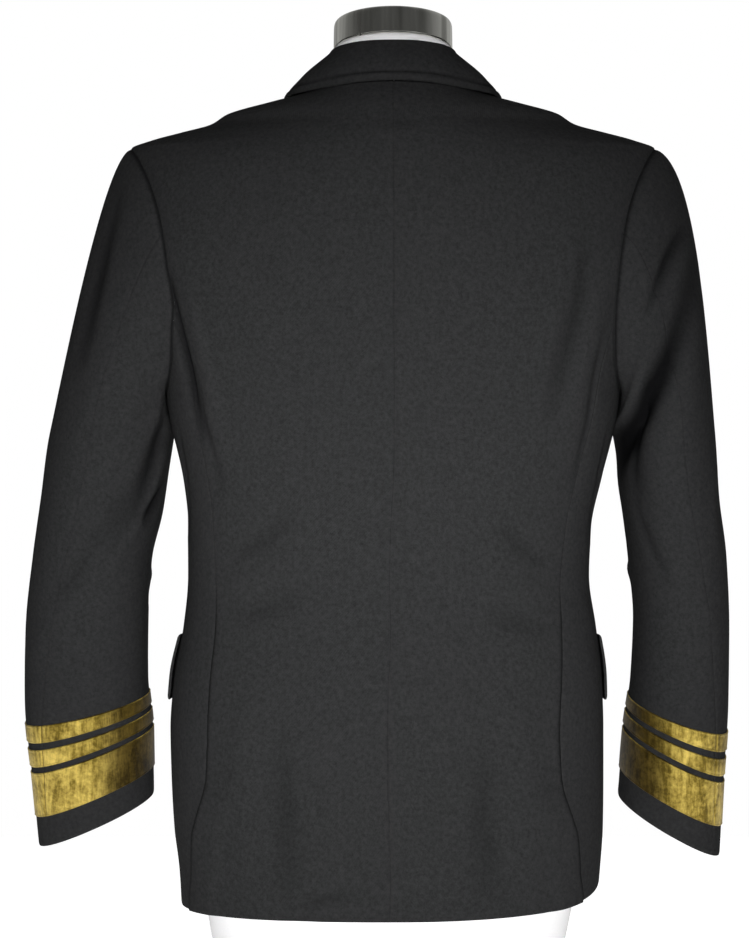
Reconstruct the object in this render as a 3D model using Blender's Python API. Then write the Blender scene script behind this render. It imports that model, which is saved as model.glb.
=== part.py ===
"""Reefer jacket on a limbless dress form, in metres, +Z up, the front towards -Y.

The cloth is a set of thin walls. Body panels are cut from one surface of
rounded rings, sleeves are lofted from the armholes, and what lies on a panel
is made from that panel's points, moved out.
"""

import math

import bmesh
import bpy
import numpy as np

# Brings the middle of the whole part, seen from above, over the origin.
PLACE = (-0.01467, 0.01536, 0.0)

WALL = 0.0020
SEAM = 0.0003
LAY = 0.0006
LACE_WALL = 0.0010
FLAP_WALL = 0.0024
LAP_LIFT = 0.0068
LAPEL_WALL = 0.0018
LAPEL_LAY = 0.0014
LAPEL_ROWS = 15
LAPEL_ACROSS = 9

# Rings of the jacket's body, from the hem to the neck.
BODY_COLUMNS = ("height", "half_width", "centre", "back", "front", "squareness")
BODY = (
    (0.020, 0.1835, 0.0040, 0.1180, 0.1210, 2.50),
    (0.075, 0.1875, 0.0030, 0.1200, 0.1230, 2.50),
    (0.112, 0.1910, 0.0040, 0.1215, 0.1245, 2.50),
    (0.158, 0.1925, 0.0050, 0.1220, 0.1255, 2.50),
    (0.200, 0.1930, 0.0055, 0.1210, 0.1250, 2.50),
    (0.245, 0.1905, 0.0045, 0.1165, 0.1235, 2.45),
    (0.290, 0.1840, 0.0030, 0.1085, 0.1215, 2.38),
    (0.335, 0.1790, 0.0040, 0.1015, 0.1205, 2.32),
    (0.380, 0.1805, 0.0030, 0.0990, 0.1215, 2.30),
    (0.425, 0.1875, 0.0005, 0.1010, 0.1255, 2.32),
    (0.452, 0.1940, 0.0000, 0.1032, 0.1290, 2.33),
    (0.470, 0.1985, 0.0000, 0.1050, 0.1315, 2.35),
    (0.515, 0.2050, 0.0000, 0.1095, 0.1375, 2.38),
    (0.560, 0.2155, 0.0000, 0.1130, 0.1415, 2.40),
    (0.600, 0.2240, 0.0000, 0.1150, 0.1400, 2.35),
    (0.635, 0.2285, 0.0000, 0.1145, 0.1350, 2.25),
    (0.665, 0.2310, 0.0000, 0.1115, 0.1280, 2.10),
    (0.690, 0.2325, 0.0000, 0.1070, 0.1190, 1.95),
    (0.706, 0.2335, 0.0000, 0.1035, 0.1110, 1.76),
    (0.716, 0.2340, 0.0000, 0.1005, 0.1050, 1.58),
    (0.7235, 0.2160, 0.0000, 0.0980, 0.0995, 1.50),
    (0.7305, 0.1900, 0.0000, 0.0950, 0.0940, 1.47),
    (0.7375, 0.1640, 0.0000, 0.0915, 0.0875, 1.45),
    (0.7475, 0.1470, 0.0000, 0.0855, 0.0770, 1.47),
    (0.7575, 0.1110, 0.0000, 0.0780, 0.0650, 1.55),
    (0.765, 0.0820, 0.0000, 0.0700, 0.0550, 1.80),
    (0.775, 0.0680, 0.0000, 0.0610, 0.0450, 2.00),
)

# Where the side body meets the back and the front, as angles round a ring.
SEAM_COLUMNS = ("height", "back_left", "back_right", "front")
SEAMS = (
    (0.020, 27.0, 33.0, 38.0),
    (0.075, 30.0, 36.0, 39.0),
    (0.112, 34.0, 39.0, 40.0),
    (0.158, 38.0, 42.0, 40.5),
    (0.200, 39.5, 43.0, 40.5),
    (0.245, 38.5, 41.0, 39.5),
    (0.290, 36.5, 38.0, 38.0),
    (0.335, 34.0, 35.0, 36.0),
    (0.380, 32.5, 33.0, 34.5),
    (0.425, 31.5, 32.0, 33.5),
    (0.470, 31.0, 31.0, 32.5),
    (0.515, 30.0, 30.0, 31.0),
    (0.560, 28.2, 28.2, 28.2),
)

HEM_COLUMNS = ("angle", "height")
HEM = (
    (-180.0, 0.0640),
    (-90.0, 0.0440),
    (0.0, 0.0440),
    (50.0, 0.0410),
    (90.0, 0.0405),
    (130.0, 0.0450),
    (180.0, 0.0640),
)

VENT_TOP = 0.158
VENT_LAP = 0.012
VENT_LIFT = 0.0029

ROWS = (
    0.0, 0.075, 0.112, 0.146, 0.158, 0.200, 0.245, 0.290, 0.335, 0.380, 0.425, 0.470, 0.515,
    0.560, 0.600, 0.635, 0.665, 0.690, 0.706, 0.716, 0.7235, 0.7305, 0.7375, 0.7475, 0.7575,
    0.765,
)
JOIN_ROW = 13
SHOULDER_ROW = 19
BACK_COLUMNS = 7
FRONT_COLUMNS = 9
SIDE_COLUMNS = 6

ARMHOLE_MIDDLE = 0.6055
ARMHOLE_HALF_HEIGHT = 0.1105
ARMHOLE_HALF_ANGLE = math.radians(30.96)

# The inner edge of each front: straight edge, roll line, then neckline.
FRONT_EDGE_COLUMNS = ("height", "past_centre")
FRONT_EDGE = (
    (0.020, -0.0760),
    (0.300, -0.0780),
    (0.490, -0.0780),
    (0.520, -0.0640),
    (0.600, -0.0190),
    (0.716, 0.0490),
    (0.7235, 0.0525),
    (0.7305, 0.0560),
    (0.7375, 0.0600),
    (0.7475, 0.0655),
    (0.7575, 0.0710),
    (0.765, 0.0760),
)

# A lapel: where its roll and its outer edge stand at each height.
LAPEL_COLUMNS = ("roll_height", "edge_height", "edge_x")
LAPEL = (
    (0.500, 0.494, -0.0660),
    (0.530, 0.525, -0.0260),
    (0.565, 0.562, 0.0160),
    (0.600, 0.602, 0.0560),
    (0.635, 0.645, 0.0930),
    (0.670, 0.688, 0.1220),
    (0.700, 0.720, 0.1360),
    (0.7150, 0.702, 0.0990),
)

# Half of the collar, from the centre back to its front end. The seam follows
# the neckline at an angle round the neck, then the fronts at a height. The
# edge lies just over the body, at an angle and a height of its own.
COLLAR_COLUMNS = ("seam_angle", "seam_height", "fold", "edge_angle", "edge_height")
COLLAR = (
    (90.0, 0.7700, (0.0000, 0.0515, 0.8065), 90.0, 0.7680),
    (66.0, 0.7692, (0.0205, 0.0485, 0.8063), 67.0, 0.7672),
    (42.0, 0.7672, (0.0390, 0.0385, 0.8050), 47.0, 0.7640),
    (18.0, 0.7655, (0.0510, 0.0215, 0.8030), 24.0, 0.7612),
    (0.0, 0.7650, (0.0560, -0.0010, 0.8000), 0.0, 0.7618),
    (-20.0, 0.7652, (0.0575, -0.0150, 0.7945), -18.0, 0.7590),
    (None, 0.7590, (0.0585, -0.0280, 0.7880), -34.6, 0.7535),
    (None, 0.7430, (0.0590, -0.0600, 0.7640), -44.8, 0.7365),
    (None, 0.7245, (0.0520, -0.0930, 0.7360), -59.0, 0.7155),
)
COLLAR_LAY = 0.0036

# Sleeves below the armhole, ring by ring, seen as if both were the left one.
SLEEVE_COLUMNS = ("height", "outer", "inner", "middle", "half_depth", "tilt_across", "tilt_deep")
SLEEVES = {
    "left": (
        (0.470, 0.3050, 0.1972, -0.026, 0.0630, 0.20, 0.00),
        (0.442, 0.3110, 0.2015, -0.027, 0.0610, 0.18, -0.01),
        (0.400, 0.3170, 0.2075, -0.030, 0.0590, 0.14, -0.02),
        (0.350, 0.3250, 0.2180, -0.034, 0.0550, 0.06, -0.06),
        (0.290, 0.3325, 0.2215, -0.042, 0.0510, -0.06, -0.12),
        (0.230, 0.3345, 0.2225, -0.054, 0.0470, -0.20, -0.17),
        (0.170, 0.3290, 0.2190, -0.068, 0.0430, -0.38, -0.18),
        (0.110, 0.3245, 0.2190, -0.082, 0.0400, -0.44, -0.18),
    ),
    "right": (
        (0.470, 0.2885, 0.1972, -0.026, 0.0690, 0.20, 0.00),
        (0.442, 0.2910, 0.2000, -0.027, 0.0670, 0.18, -0.01),
        (0.400, 0.2940, 0.2070, -0.030, 0.0650, 0.14, -0.02),
        (0.350, 0.3010, 0.2130, -0.034, 0.0620, 0.06, -0.06),
        (0.290, 0.3045, 0.2180, -0.042, 0.0580, -0.08, -0.12),
        (0.230, 0.3050, 0.2165, -0.054, 0.0540, -0.26, -0.17),
        (0.170, 0.3020, 0.2110, -0.068, 0.0510, -0.50, -0.18),
        (0.105, 0.3000, 0.2070, -0.082, 0.0480, -0.56, -0.18),
    ),
}
HEAD_FULLNESS = {"left": 0.048, "right": 0.095}
SLEEVE_HEAD_ROWS = 5
SLEEVE_TWIST = math.radians(-40.0)
HINDARM = 4
FOREARM = 12
SLEEVE_ROWS = (0.470, 0.442, 0.410, 0.365, 0.320, 0.275, 0.235)

# Gold lace on a sleeve, measured up from the cuff's edge.
LACE_COLUMNS = ("name", "lower", "upper")
LACE = (
    ("broad", 0.0270, 0.0660),
    ("middle", 0.0710, 0.0850),
    ("upper", 0.0905, 0.1045),
)

# The largest folds: where each starts and ends, its half width and its height.
BODY_FOLD_COLUMNS = ("angle_0", "height_0", "angle_1", "height_1", "half_width", "rise")
BODY_FOLDS = (
    (36.0, 0.600, 41.0, 0.430, 0.016, 0.0035),
    (144.0, 0.600, 139.0, 0.430, 0.016, 0.0035),
)
SLEEVE_FOLD_COLUMNS = ("turn_0", "down_0", "turn_1", "down_1", "half_width", "rise")
SLEEVE_FOLDS = {
    "left": ((112.0, 0.13, 66.0, 0.46, 0.45, 0.0040), (150.0, 0.26, 95.0, 0.50, 0.35, -0.0030)),
    "right": ((28.0, 0.12, 118.0, 0.40, 0.40, 0.0045), (95.0, 0.20, 150.0, 0.42, 0.35, -0.0030)),
}

FLAP_TOP = 0.2815
FLAP_BOTTOM = 0.2240
FLAP_BACK_ANGLE = math.radians(4.0)
FLAP_FRONT_ANGLE = math.radians(-54.0)
WELT_INNER = 0.094
WELT_OUTER = 0.168
WELT_BOTTOM = 0.586
WELT_TOP = 0.609
WELT_RISE = 0.010
BUTTON_RADIUS = 0.0115
BUTTON_RISE = 0.0052
BUTTON_ACROSS = 0.057
BUTTON_HEIGHTS = (0.462, 0.367, 0.272, 0.177)

# The dress form: how far it stays inside the cloth's outer face.
EASE_COLUMNS = ("height", "side", "back", "front")
EASE = (
    (0.000, 0.0280, 0.0200, 0.0220),
    (0.060, 0.0200, 0.0150, 0.0170),
    (0.160, 0.0150, 0.0110, 0.0130),
    (0.380, 0.0130, 0.0090, 0.0120),
    (0.520, 0.0170, 0.0085, 0.0120),
    (0.600, 0.0230, 0.0085, 0.0120),
    (0.665, 0.0200, 0.0080, 0.0110),
    (0.700, 0.0150, 0.0065, 0.0085),
    (0.7135, 0.0040, 0.0055, 0.0070),
    (0.7200, 0.0000, 0.0050, 0.0060),
    (0.752, 0.0000, 0.0052, 0.0062),
    (0.765, 0.0020, 0.0060, 0.0070),
)
FORM_DROP = 0.0029
FORM_ROWS = (0.0, 0.0, 0.060, 0.120, 0.200, 0.270, 0.335, 0.400, 0.470, 0.540, 0.600, 0.650)
FORM_ROUND = 24
NECK_COLUMNS = ("height", "half_width", "back", "front", "tilt")
NECK = (
    (0.7690, 0.0620, 0.0530, 0.0520, 0.02),
    (0.7760, 0.0545, 0.0470, 0.0560, 0.06),
    (0.7860, 0.0508, 0.0445, 0.0580, 0.12),
    (0.8000, 0.0510, 0.0442, 0.0580, 0.21),
    (0.8037, 0.0524, 0.0454, 0.0600, 0.23),
)
CAP_COLUMNS = ("height", "half_width", "back", "front")
CAP = (
    (0.8040, 0.0500, 0.0430, 0.0580),
    (0.8047, 0.0523, 0.0453, 0.0603),
    (0.8064, 0.0531, 0.0461, 0.0611),
    (0.8236, 0.0528, 0.0458, 0.0608),
    (0.8277, 0.0514, 0.0444, 0.0594),
    (0.8290, 0.0470, 0.0400, 0.0550),
)
CAP_TILT = 0.23

MATERIALS = {
    "black_wool": ((0.020, 0.020, 0.024), 0.85, 0.0),
    "gold_lace": ((0.62, 0.43, 0.16), 0.38, 0.85),
    "gilt_button": ((0.70, 0.49, 0.17), 0.25, 1.0),
    "form_cover": ((0.78, 0.77, 0.74), 0.80, 0.0),
    "neck_metal": ((0.36, 0.36, 0.34), 0.25, 1.0),
}


def smooth_curve(places, values):
    """A curve through the given values that never overshoots them."""
    places = np.asarray(places, dtype=float)
    values = np.asarray(values, dtype=float)
    order = np.argsort(places)
    places, values = places[order], values[order]
    step = np.diff(places)
    rise = np.diff(values) / step
    slope = np.zeros_like(values)
    slope[0], slope[-1] = rise[0], rise[-1]
    before, after = rise[:-1], rise[1:]
    same = before * after > 0.0
    near = 2.0 * step[1:] + step[:-1]
    far = step[1:] + 2.0 * step[:-1]
    safe_before = np.where(same, before, 1.0)
    safe_after = np.where(same, after, 1.0)
    slope[1:-1] = np.where(same, (near + far) / (near / safe_before + far / safe_after), 0.0)

    def at(place):
        place = np.clip(place, places[0], places[-1])
        i = np.clip(np.searchsorted(places, place, side="right") - 1, 0, len(step) - 1)
        t = (place - places[i]) / step[i]
        return (
            values[i] * (1.0 + 2.0 * t) * (1.0 - t) ** 2
            + slope[i] * step[i] * t * (1.0 - t) ** 2
            + values[i + 1] * t * t * (3.0 - 2.0 * t)
            + slope[i + 1] * step[i] * t * t * (t - 1.0)
        )

    return at


def table_curves(table):
    """One curve for each column of a table, over its first column."""
    columns = list(zip(*table))
    return [smooth_curve(columns[0], column) for column in columns[1:]]


def smooth_step(t):
    t = np.clip(t, 0.0, 1.0)
    return t * t * (3.0 - 2.0 * t)


BODY_CURVES = table_curves(BODY)
SEAM_CURVES = table_curves(SEAMS)
HEM_CURVE = table_curves(HEM)[0]
EASE_CURVES = table_curves(EASE)
FRONT_EDGE_CURVE = table_curves(FRONT_EDGE)[0]
NECK_CURVES = table_curves(NECK)
SLEEVE_CURVES = {side: table_curves(rows) for side, rows in SLEEVES.items()}


def fold_rise(across, along, start, end, half_width, rise):
    """A soft ridge along a straight line in flat coordinates, fading at its ends."""
    line = np.subtract(end, start)
    length = math.hypot(*line)
    unit = line / length
    reach = (across - start[0]) * unit[0] + (along - start[1]) * unit[1]
    aside = (across - start[0]) * unit[1] - (along - start[1]) * unit[0]
    part = np.clip(reach / length, 0.0, 1.0)
    fade = np.sin(math.pi * np.clip(part, 0.0, 1.0)) ** 0.7
    fade = np.where((reach < 0.0) | (reach > length), 0.0, fade)
    return rise * fade * np.exp(-((aside / half_width) ** 2))


def plain_body(angle, height):
    """The smooth surface that all body panels are cut from."""
    half, centre, back, front, square = (curve(height) for curve in BODY_CURVES)
    cos, sin = np.cos(angle), np.sin(angle)
    depth = np.where(sin > 0.0, back, front)
    x = centre + half * np.sign(cos) * np.abs(cos) ** (2.0 / square)
    y = depth * np.sign(sin) * np.abs(sin) ** (2.0 / square)
    return np.stack(np.broadcast_arrays(x, y, height), axis=-1)


def unit(vectors):
    return vectors / np.linalg.norm(vectors, axis=-1, keepdims=True)


def body_normal(angle, height):
    turn = plain_body(angle + 0.004, height) - plain_body(angle - 0.004, height)
    climb = plain_body(angle, height + 0.0006) - plain_body(angle, height - 0.0006)
    return unit(np.cross(turn, climb))


def body_rise(angle, height):
    """How far the largest folds lift the body's cloth."""
    total = np.zeros(np.broadcast(angle, height).shape)
    for angle_0, height_0, angle_1, height_1, half_width, rise in BODY_FOLDS:
        start = (math.radians(angle_0) * 0.17, height_0)
        end = (math.radians(angle_1) * 0.17, height_1)
        total = total + fold_rise(angle * 0.17, height, start, end, half_width, rise)
    return total


def body_surface(angle, height, lift=0.0):
    """Points and outward normals of the cloth's outer face."""
    angle, height = np.broadcast_arrays(np.asarray(angle, float), np.asarray(height, float))
    normal = body_normal(angle, height)
    rise = body_rise(angle, height) + lift
    return plain_body(angle, height) + normal * rise[..., None], normal


def angle_of_x(x, height):
    """The angle, on the front, at which a ring passes a place across."""
    half, centre, _, _, square = (curve(height) for curve in BODY_CURVES)
    share = (x - centre) / half
    cos = np.sign(share) * np.abs(share) ** (square / 2.0)
    return -np.arccos(np.clip(cos, -1.0, 1.0))


def mirrored(angle, side):
    return angle if side > 0 else math.pi - angle


def armhole_angle(height):
    """Half the armhole's opening, as an angle round the body, at a height."""
    share = np.clip((height - ARMHOLE_MIDDLE) / ARMHOLE_HALF_HEIGHT, -1.0, 1.0)
    return ARMHOLE_HALF_ANGLE * np.sqrt(1.0 - share * share)


def seam_angle(column, height):
    """The panel's edge: a side seam, then the armhole, then the shoulder seam."""
    seam = np.radians(SEAM_CURVES[column](height))
    above = np.where(height < 0.7155, armhole_angle(height), 0.0)
    return np.where(height <= ROWS[JOIN_ROW] + 1e-6, seam, above)


def hem_height(angle):
    """The hem, which hangs a little lower on one side."""
    turn = np.degrees(np.arctan2(np.sin(angle), np.cos(angle)))
    return HEM_CURVE(turn)


def row_heights(angle, top_row):
    """Heights of the rows up one panel; the lowest row follows the hem."""
    rows = np.array(ROWS[: top_row + 1])[:, None] + 0.0 * angle
    rows[0] = hem_height(angle[0])
    return rows


def inset(points, first=True, last=True, axis=1, amount=SEAM / 2.0):
    """Draw a grid's end rows or columns back from their seams."""
    moved = np.moveaxis(points.copy(), axis, 0)
    source = np.moveaxis(points, axis, 0)
    if first:
        moved[0] = source[0] + unit(source[1] - source[0]) * amount
    if last:
        moved[-1] = source[-1] + unit(source[-2] - source[-1]) * amount
    return np.moveaxis(moved, 0, axis)


def mesh_object(name, bm, slot, smooth=True):
    bmesh.ops.translate(bm, vec=PLACE, verts=bm.verts[:])
    bmesh.ops.recalc_face_normals(bm, faces=bm.faces[:])
    bmesh.ops.triangulate(bm, faces=bm.faces[:])
    if bm.calc_volume(signed=True) < 0.0:
        bmesh.ops.reverse_faces(bm, faces=bm.faces[:])
    mesh = bpy.data.meshes.new(name)
    bm.to_mesh(mesh)
    bm.free()
    for polygon in mesh.polygons:
        polygon.use_smooth = smooth
    item = bpy.data.objects.new(name, mesh)
    bpy.context.scene.collection.objects.link(item)
    colour, rough, metal = MATERIALS[slot]
    material = bpy.data.materials.new(name + "_" + slot)
    material.use_nodes = True
    shader = material.node_tree.nodes["Principled BSDF"]
    shader.inputs["Base Color"].default_value = (*colour, 1.0)
    shader.inputs["Roughness"].default_value = rough
    shader.inputs["Metallic"].default_value = metal
    mesh.materials.append(material)
    return item


def wall_sheet(name, outer, inner, slot):
    """A thin wall with an outer and an inner face from two grids of points."""
    rows, columns = outer.shape[:2]
    bm = bmesh.new()
    bmesh.ops.create_grid(bm, x_segments=columns - 1, y_segments=rows - 1, size=0.5)
    result = bmesh.ops.extrude_face_region(bm, geom=bm.faces[:], use_keep_orig=True)
    copies = {item for item in result["geom"] if isinstance(item, bmesh.types.BMVert)}
    for vert in bm.verts:
        column = round((vert.co.x + 0.5) * (columns - 1))
        row = round((vert.co.y + 0.5) * (rows - 1))
        source = inner if vert in copies else outer
        vert.co = source[row, column].tolist()
    return mesh_object(name, bm, slot)


def round_grid(rows, columns):
    """A tube of quads closed round, with the row and column of each vertex."""
    bm = bmesh.new()
    bmesh.ops.create_grid(bm, x_segments=columns, y_segments=rows - 1, size=0.5)
    for vert in bm.verts:
        turn = 2.0 * math.pi * (vert.co.x + 0.5)
        vert.co = (math.cos(turn), math.sin(turn), vert.co.y + 0.5)
    bmesh.ops.remove_doubles(bm, verts=bm.verts[:], dist=0.00005)
    return bm


def round_place(vert, rows, columns):
    turn = math.atan2(vert.co.y, vert.co.x) % (2.0 * math.pi)
    return round(vert.co.z * (rows - 1)), round(turn / (2.0 * math.pi) * columns) % columns


def wall_tube(name, outer, inner, slot):
    """A thin wall closed round, open at both ends."""
    rows, columns = outer.shape[:2]
    bm = round_grid(rows, columns)
    result = bmesh.ops.extrude_face_region(bm, geom=bm.faces[:], use_keep_orig=True)
    copies = {item for item in result["geom"] if isinstance(item, bmesh.types.BMVert)}
    for vert in bm.verts:
        row, column = round_place(vert, rows, columns)
        source = inner if vert in copies else outer
        vert.co = source[row, column].tolist()
    return mesh_object(name, bm, slot)


def closed_body(name, rings, slot):
    """A whole body from a stack of rings, its ends closed flat."""
    rows, columns = rings.shape[:2]
    bm = round_grid(rows, columns)
    for vert in bm.verts:
        row, column = round_place(vert, rows, columns)
        vert.co = rings[row, column].tolist()
    open_edges = [edge for edge in bm.edges if edge.is_boundary]
    bmesh.ops.holes_fill(bm, edges=open_edges, sides=0)
    return mesh_object(name, bm, slot)


def back_panel(side, name):
    column = 0 if side > 0 else 1
    rows = np.array(ROWS)
    edge = seam_angle(column, rows)
    share = np.linspace(0.0, 1.0, BACK_COLUMNS + 1)[None, :]
    lap = np.where(rows < 0.12, VENT_LAP / 0.16, 0.0)
    lift = np.where(rows < VENT_TOP - 0.006, VENT_LIFT, 0.0)
    end = (edge - lap)[:, None]
    angle = math.pi / 2.0 + (end - math.pi / 2.0) * share
    if side < 0:
        angle = math.pi - angle
    height = row_heights(angle, len(ROWS) - 1)
    height[-1] = height[-1] + 0.005 * np.sin(angle[-1]) ** 2
    near_vent = smooth_step((share - 0.70) / 0.12)
    outer, normal = body_surface(angle, height, lift[:, None] * near_vent)
    outer = inset(outer)
    return wall_sheet(name, outer, outer - normal * WALL, "black_wool")


def side_panel(side, name):
    column = 0 if side > 0 else 1
    rows = np.array(ROWS[: JOIN_ROW + 1])
    back = seam_angle(column, rows)[:, None]
    front = -seam_angle(2, rows)[:, None]
    share = np.linspace(0.0, 1.0, SIDE_COLUMNS + 1)[None, :]
    angle = front + (back - front) * share
    height = np.array(rows)[:, None] + 0.0 * angle
    join = ROWS[JOIN_ROW]
    reach = np.sqrt(np.clip(1.0 - (angle[-1] / ARMHOLE_HALF_ANGLE) ** 2, 0.0, 1.0))
    top = ARMHOLE_MIDDLE - ARMHOLE_HALF_HEIGHT * reach
    start = 0.245
    squeeze = (top[None, :] - start) / (join - start)
    height = np.where(height > start, start + (height - start) * squeeze, height)
    if side < 0:
        angle = math.pi - angle
    height[0] = hem_height(angle[0])
    outer, normal = body_surface(angle, height)
    outer = inset(inset(outer), first=False, axis=0)
    return wall_sheet(name, outer, outer - normal * WALL, "black_wool")


def front_lift(side, x, height):
    """The left front laps over the right one, so it stands further out."""
    if side < 0:
        return 0.0 * x
    across = smooth_step((0.128 - x) / 0.045)
    up = 1.0 - smooth_step((height - 0.655) / 0.050)
    return LAP_LIFT * across * up


def front_grid(side):
    """Angles and heights of one front panel, from its side seam to its edge."""
    rows = np.array(ROWS)
    inner = side * FRONT_EDGE_CURVE(rows)
    start = mirrored(-seam_angle(2, rows), side)
    start = np.where(start > math.pi / 2.0, start - 2.0 * math.pi, start)
    end = angle_of_x(inner, rows)
    share = np.linspace(0.0, 1.0, FRONT_COLUMNS + 1)[None, :]
    angle = start[:, None] + (end - start)[:, None] * share
    height = row_heights(angle, len(ROWS) - 1)
    return angle, height


def front_panel(side, name):
    angle, height = front_grid(side)
    x = plain_body(angle, height)[..., 0]
    outer, normal = body_surface(angle, height, front_lift(side, x, height))
    outer = inset(outer)
    wall_sheet(name, outer, outer - normal * WALL, "black_wool")
    return outer, normal


def front_place(panel, x, height, lift):
    """Places on a front panel's own flat faces, moved out by lift."""
    points, normals = panel
    x, height, lift = np.broadcast_arrays(x, height, lift)
    found = np.zeros(x.shape + (3,))
    facing = np.zeros(x.shape + (3,))
    for index in np.ndindex(x.shape):
        row = int(np.clip(np.searchsorted(ROWS, height[index]) - 1, 0, len(ROWS) - 2))
        up = (height[index] - ROWS[row]) / (ROWS[row + 1] - ROWS[row])
        line = points[row] * (1.0 - up) + points[row + 1] * up
        turn = normals[row] * (1.0 - up) + normals[row + 1] * up
        order = np.argsort(line[:, 0])
        place = [np.interp(x[index], line[order, 0], line[order, axis]) for axis in range(3)]
        way = [np.interp(x[index], line[order, 0], turn[order, axis]) for axis in range(3)]
        facing[index] = unit(np.array(way))
        found[index] = np.array(place) + facing[index] * lift[index]
    return found, facing


def lapel(side, name, panel):
    knots = np.arange(len(LAPEL))
    along = np.linspace(0.0, knots[-1], LAPEL_ROWS)
    columns = [np.interp(along, knots, column)[:, None] for column in zip(*LAPEL)]
    roll_at, edge_height, edge_x = columns
    share = np.linspace(0.0, 1.0, LAPEL_ACROSS)[None, :]
    roll_x = FRONT_EDGE_CURVE(roll_at)
    x = roll_x * (1.0 - share) + edge_x * share
    height = roll_at * (1.0 - share) + edge_height * share
    roll = 0.0030 * smooth_step(share / 0.25) * (1.0 - smooth_step((share - 0.25) / 0.5))
    wide = np.clip(np.abs(edge_x - roll_x) / 0.08, 0.0, 1.0)
    if side < 0:
        wide = wide * smooth_step((roll_at - 0.635) / 0.030)
    lift = LAPEL_LAY + LAPEL_WALL + roll * wide
    outer, normal = front_place(panel, side * x, height, lift)
    return wall_sheet(name, outer, outer - normal * LAPEL_WALL, "black_wool")


def collar_seam(angle, height):
    """A place on the neckline, half way through the wall and just clear of it."""
    if angle is not None:
        outer, normal = body_surface(math.radians(angle), height)
        return outer - normal * WALL / 2.0 + np.array([0.0, 0.0, 0.0014])
    x = FRONT_EDGE_CURVE(height) - WALL / 2.0 - 0.0006
    outer, normal = body_surface(angle_of_x(x, np.array(height)), height)
    return outer - normal * WALL / 2.0


def collar_rows():
    """Both halves of the collar's three guide lines, from end to end."""
    half = []
    for seam_at, seam_height, fold, edge_at, edge_height in COLLAR:
        outer, normal = body_surface(math.radians(edge_at), edge_height)
        half.append((collar_seam(seam_at, seam_height), fold, outer + normal * COLLAR_LAY))
    half = np.array(half)
    half[0, :, 0] = 0.0
    other = half[::-1].copy()[:-1]
    other[..., 0] *= -1.0
    return np.concatenate([other, half])


def collar(name):
    guide = collar_rows()
    seam, fold, edge = guide[:, 0], guide[:, 1], guide[:, 2]
    out = edge - fold
    out[:, 2] = 0.0
    out = unit(out)
    up = np.array([0.0, 0.0, 1.0])
    tall = np.clip((fold[:, 2:] - seam[:, 2:]) / 0.034, 0.25, 1.0)
    radius = 0.0026 * tall ** 0.5
    inside = fold - out * radius - up * 0.0035 * tall
    stand = (seam + inside) * 0.5
    outside = fold + out * radius - up * 0.0030
    fall = (outside + edge) * 0.5 + out * 0.0030
    middle = np.stack([seam, stand, inside, fold, outside, fall, edge], axis=1)
    across = np.gradient(middle, axis=1)
    along = np.gradient(middle, axis=0)
    normal = unit(np.cross(along, across))
    if normal[len(normal) // 2, -2, 1] < 0.0:
        normal = -normal
    half = WALL / 2.0
    return wall_sheet(name, middle + normal * half, middle - normal * half, "black_wool")


def sleeve_turns():
    """Angles round the armhole that match the edges of the panels beside it."""
    rows = np.array(ROWS[JOIN_ROW : SHOULDER_ROW + 1])
    upper = np.arccos(np.clip((rows - ARMHOLE_MIDDLE) / ARMHOLE_HALF_HEIGHT, -1.0, 1.0))[::-1]
    join = armhole_angle(ROWS[JOIN_ROW])
    inner = join * np.array([2.0, 1.0]) / (SIDE_COLUMNS / 2.0)
    lower = math.pi - np.arcsin(inner / ARMHOLE_HALF_ANGLE)
    half = np.concatenate([upper, lower])
    return np.concatenate([half, [math.pi], 2.0 * math.pi - half[:0:-1]])


def sleeve_ring(side, turn, height):
    """A ring of the sleeve below the armhole, as if on the left."""
    outer, inner, middle, depth, across, deep = (curve(height) for curve in SLEEVE_CURVES[side])
    half = (outer - inner) / 2.0
    centre = (outer + inner) / 2.0
    cos, sin = np.cos(turn), np.sin(turn)
    dx = half * np.sign(cos) * np.abs(cos) ** 0.92
    dy = depth * np.sign(sin) * np.abs(sin) ** 0.92
    return np.stack([centre + dx, middle + dy, height + across * dx + deep * dy], axis=-1)


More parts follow.
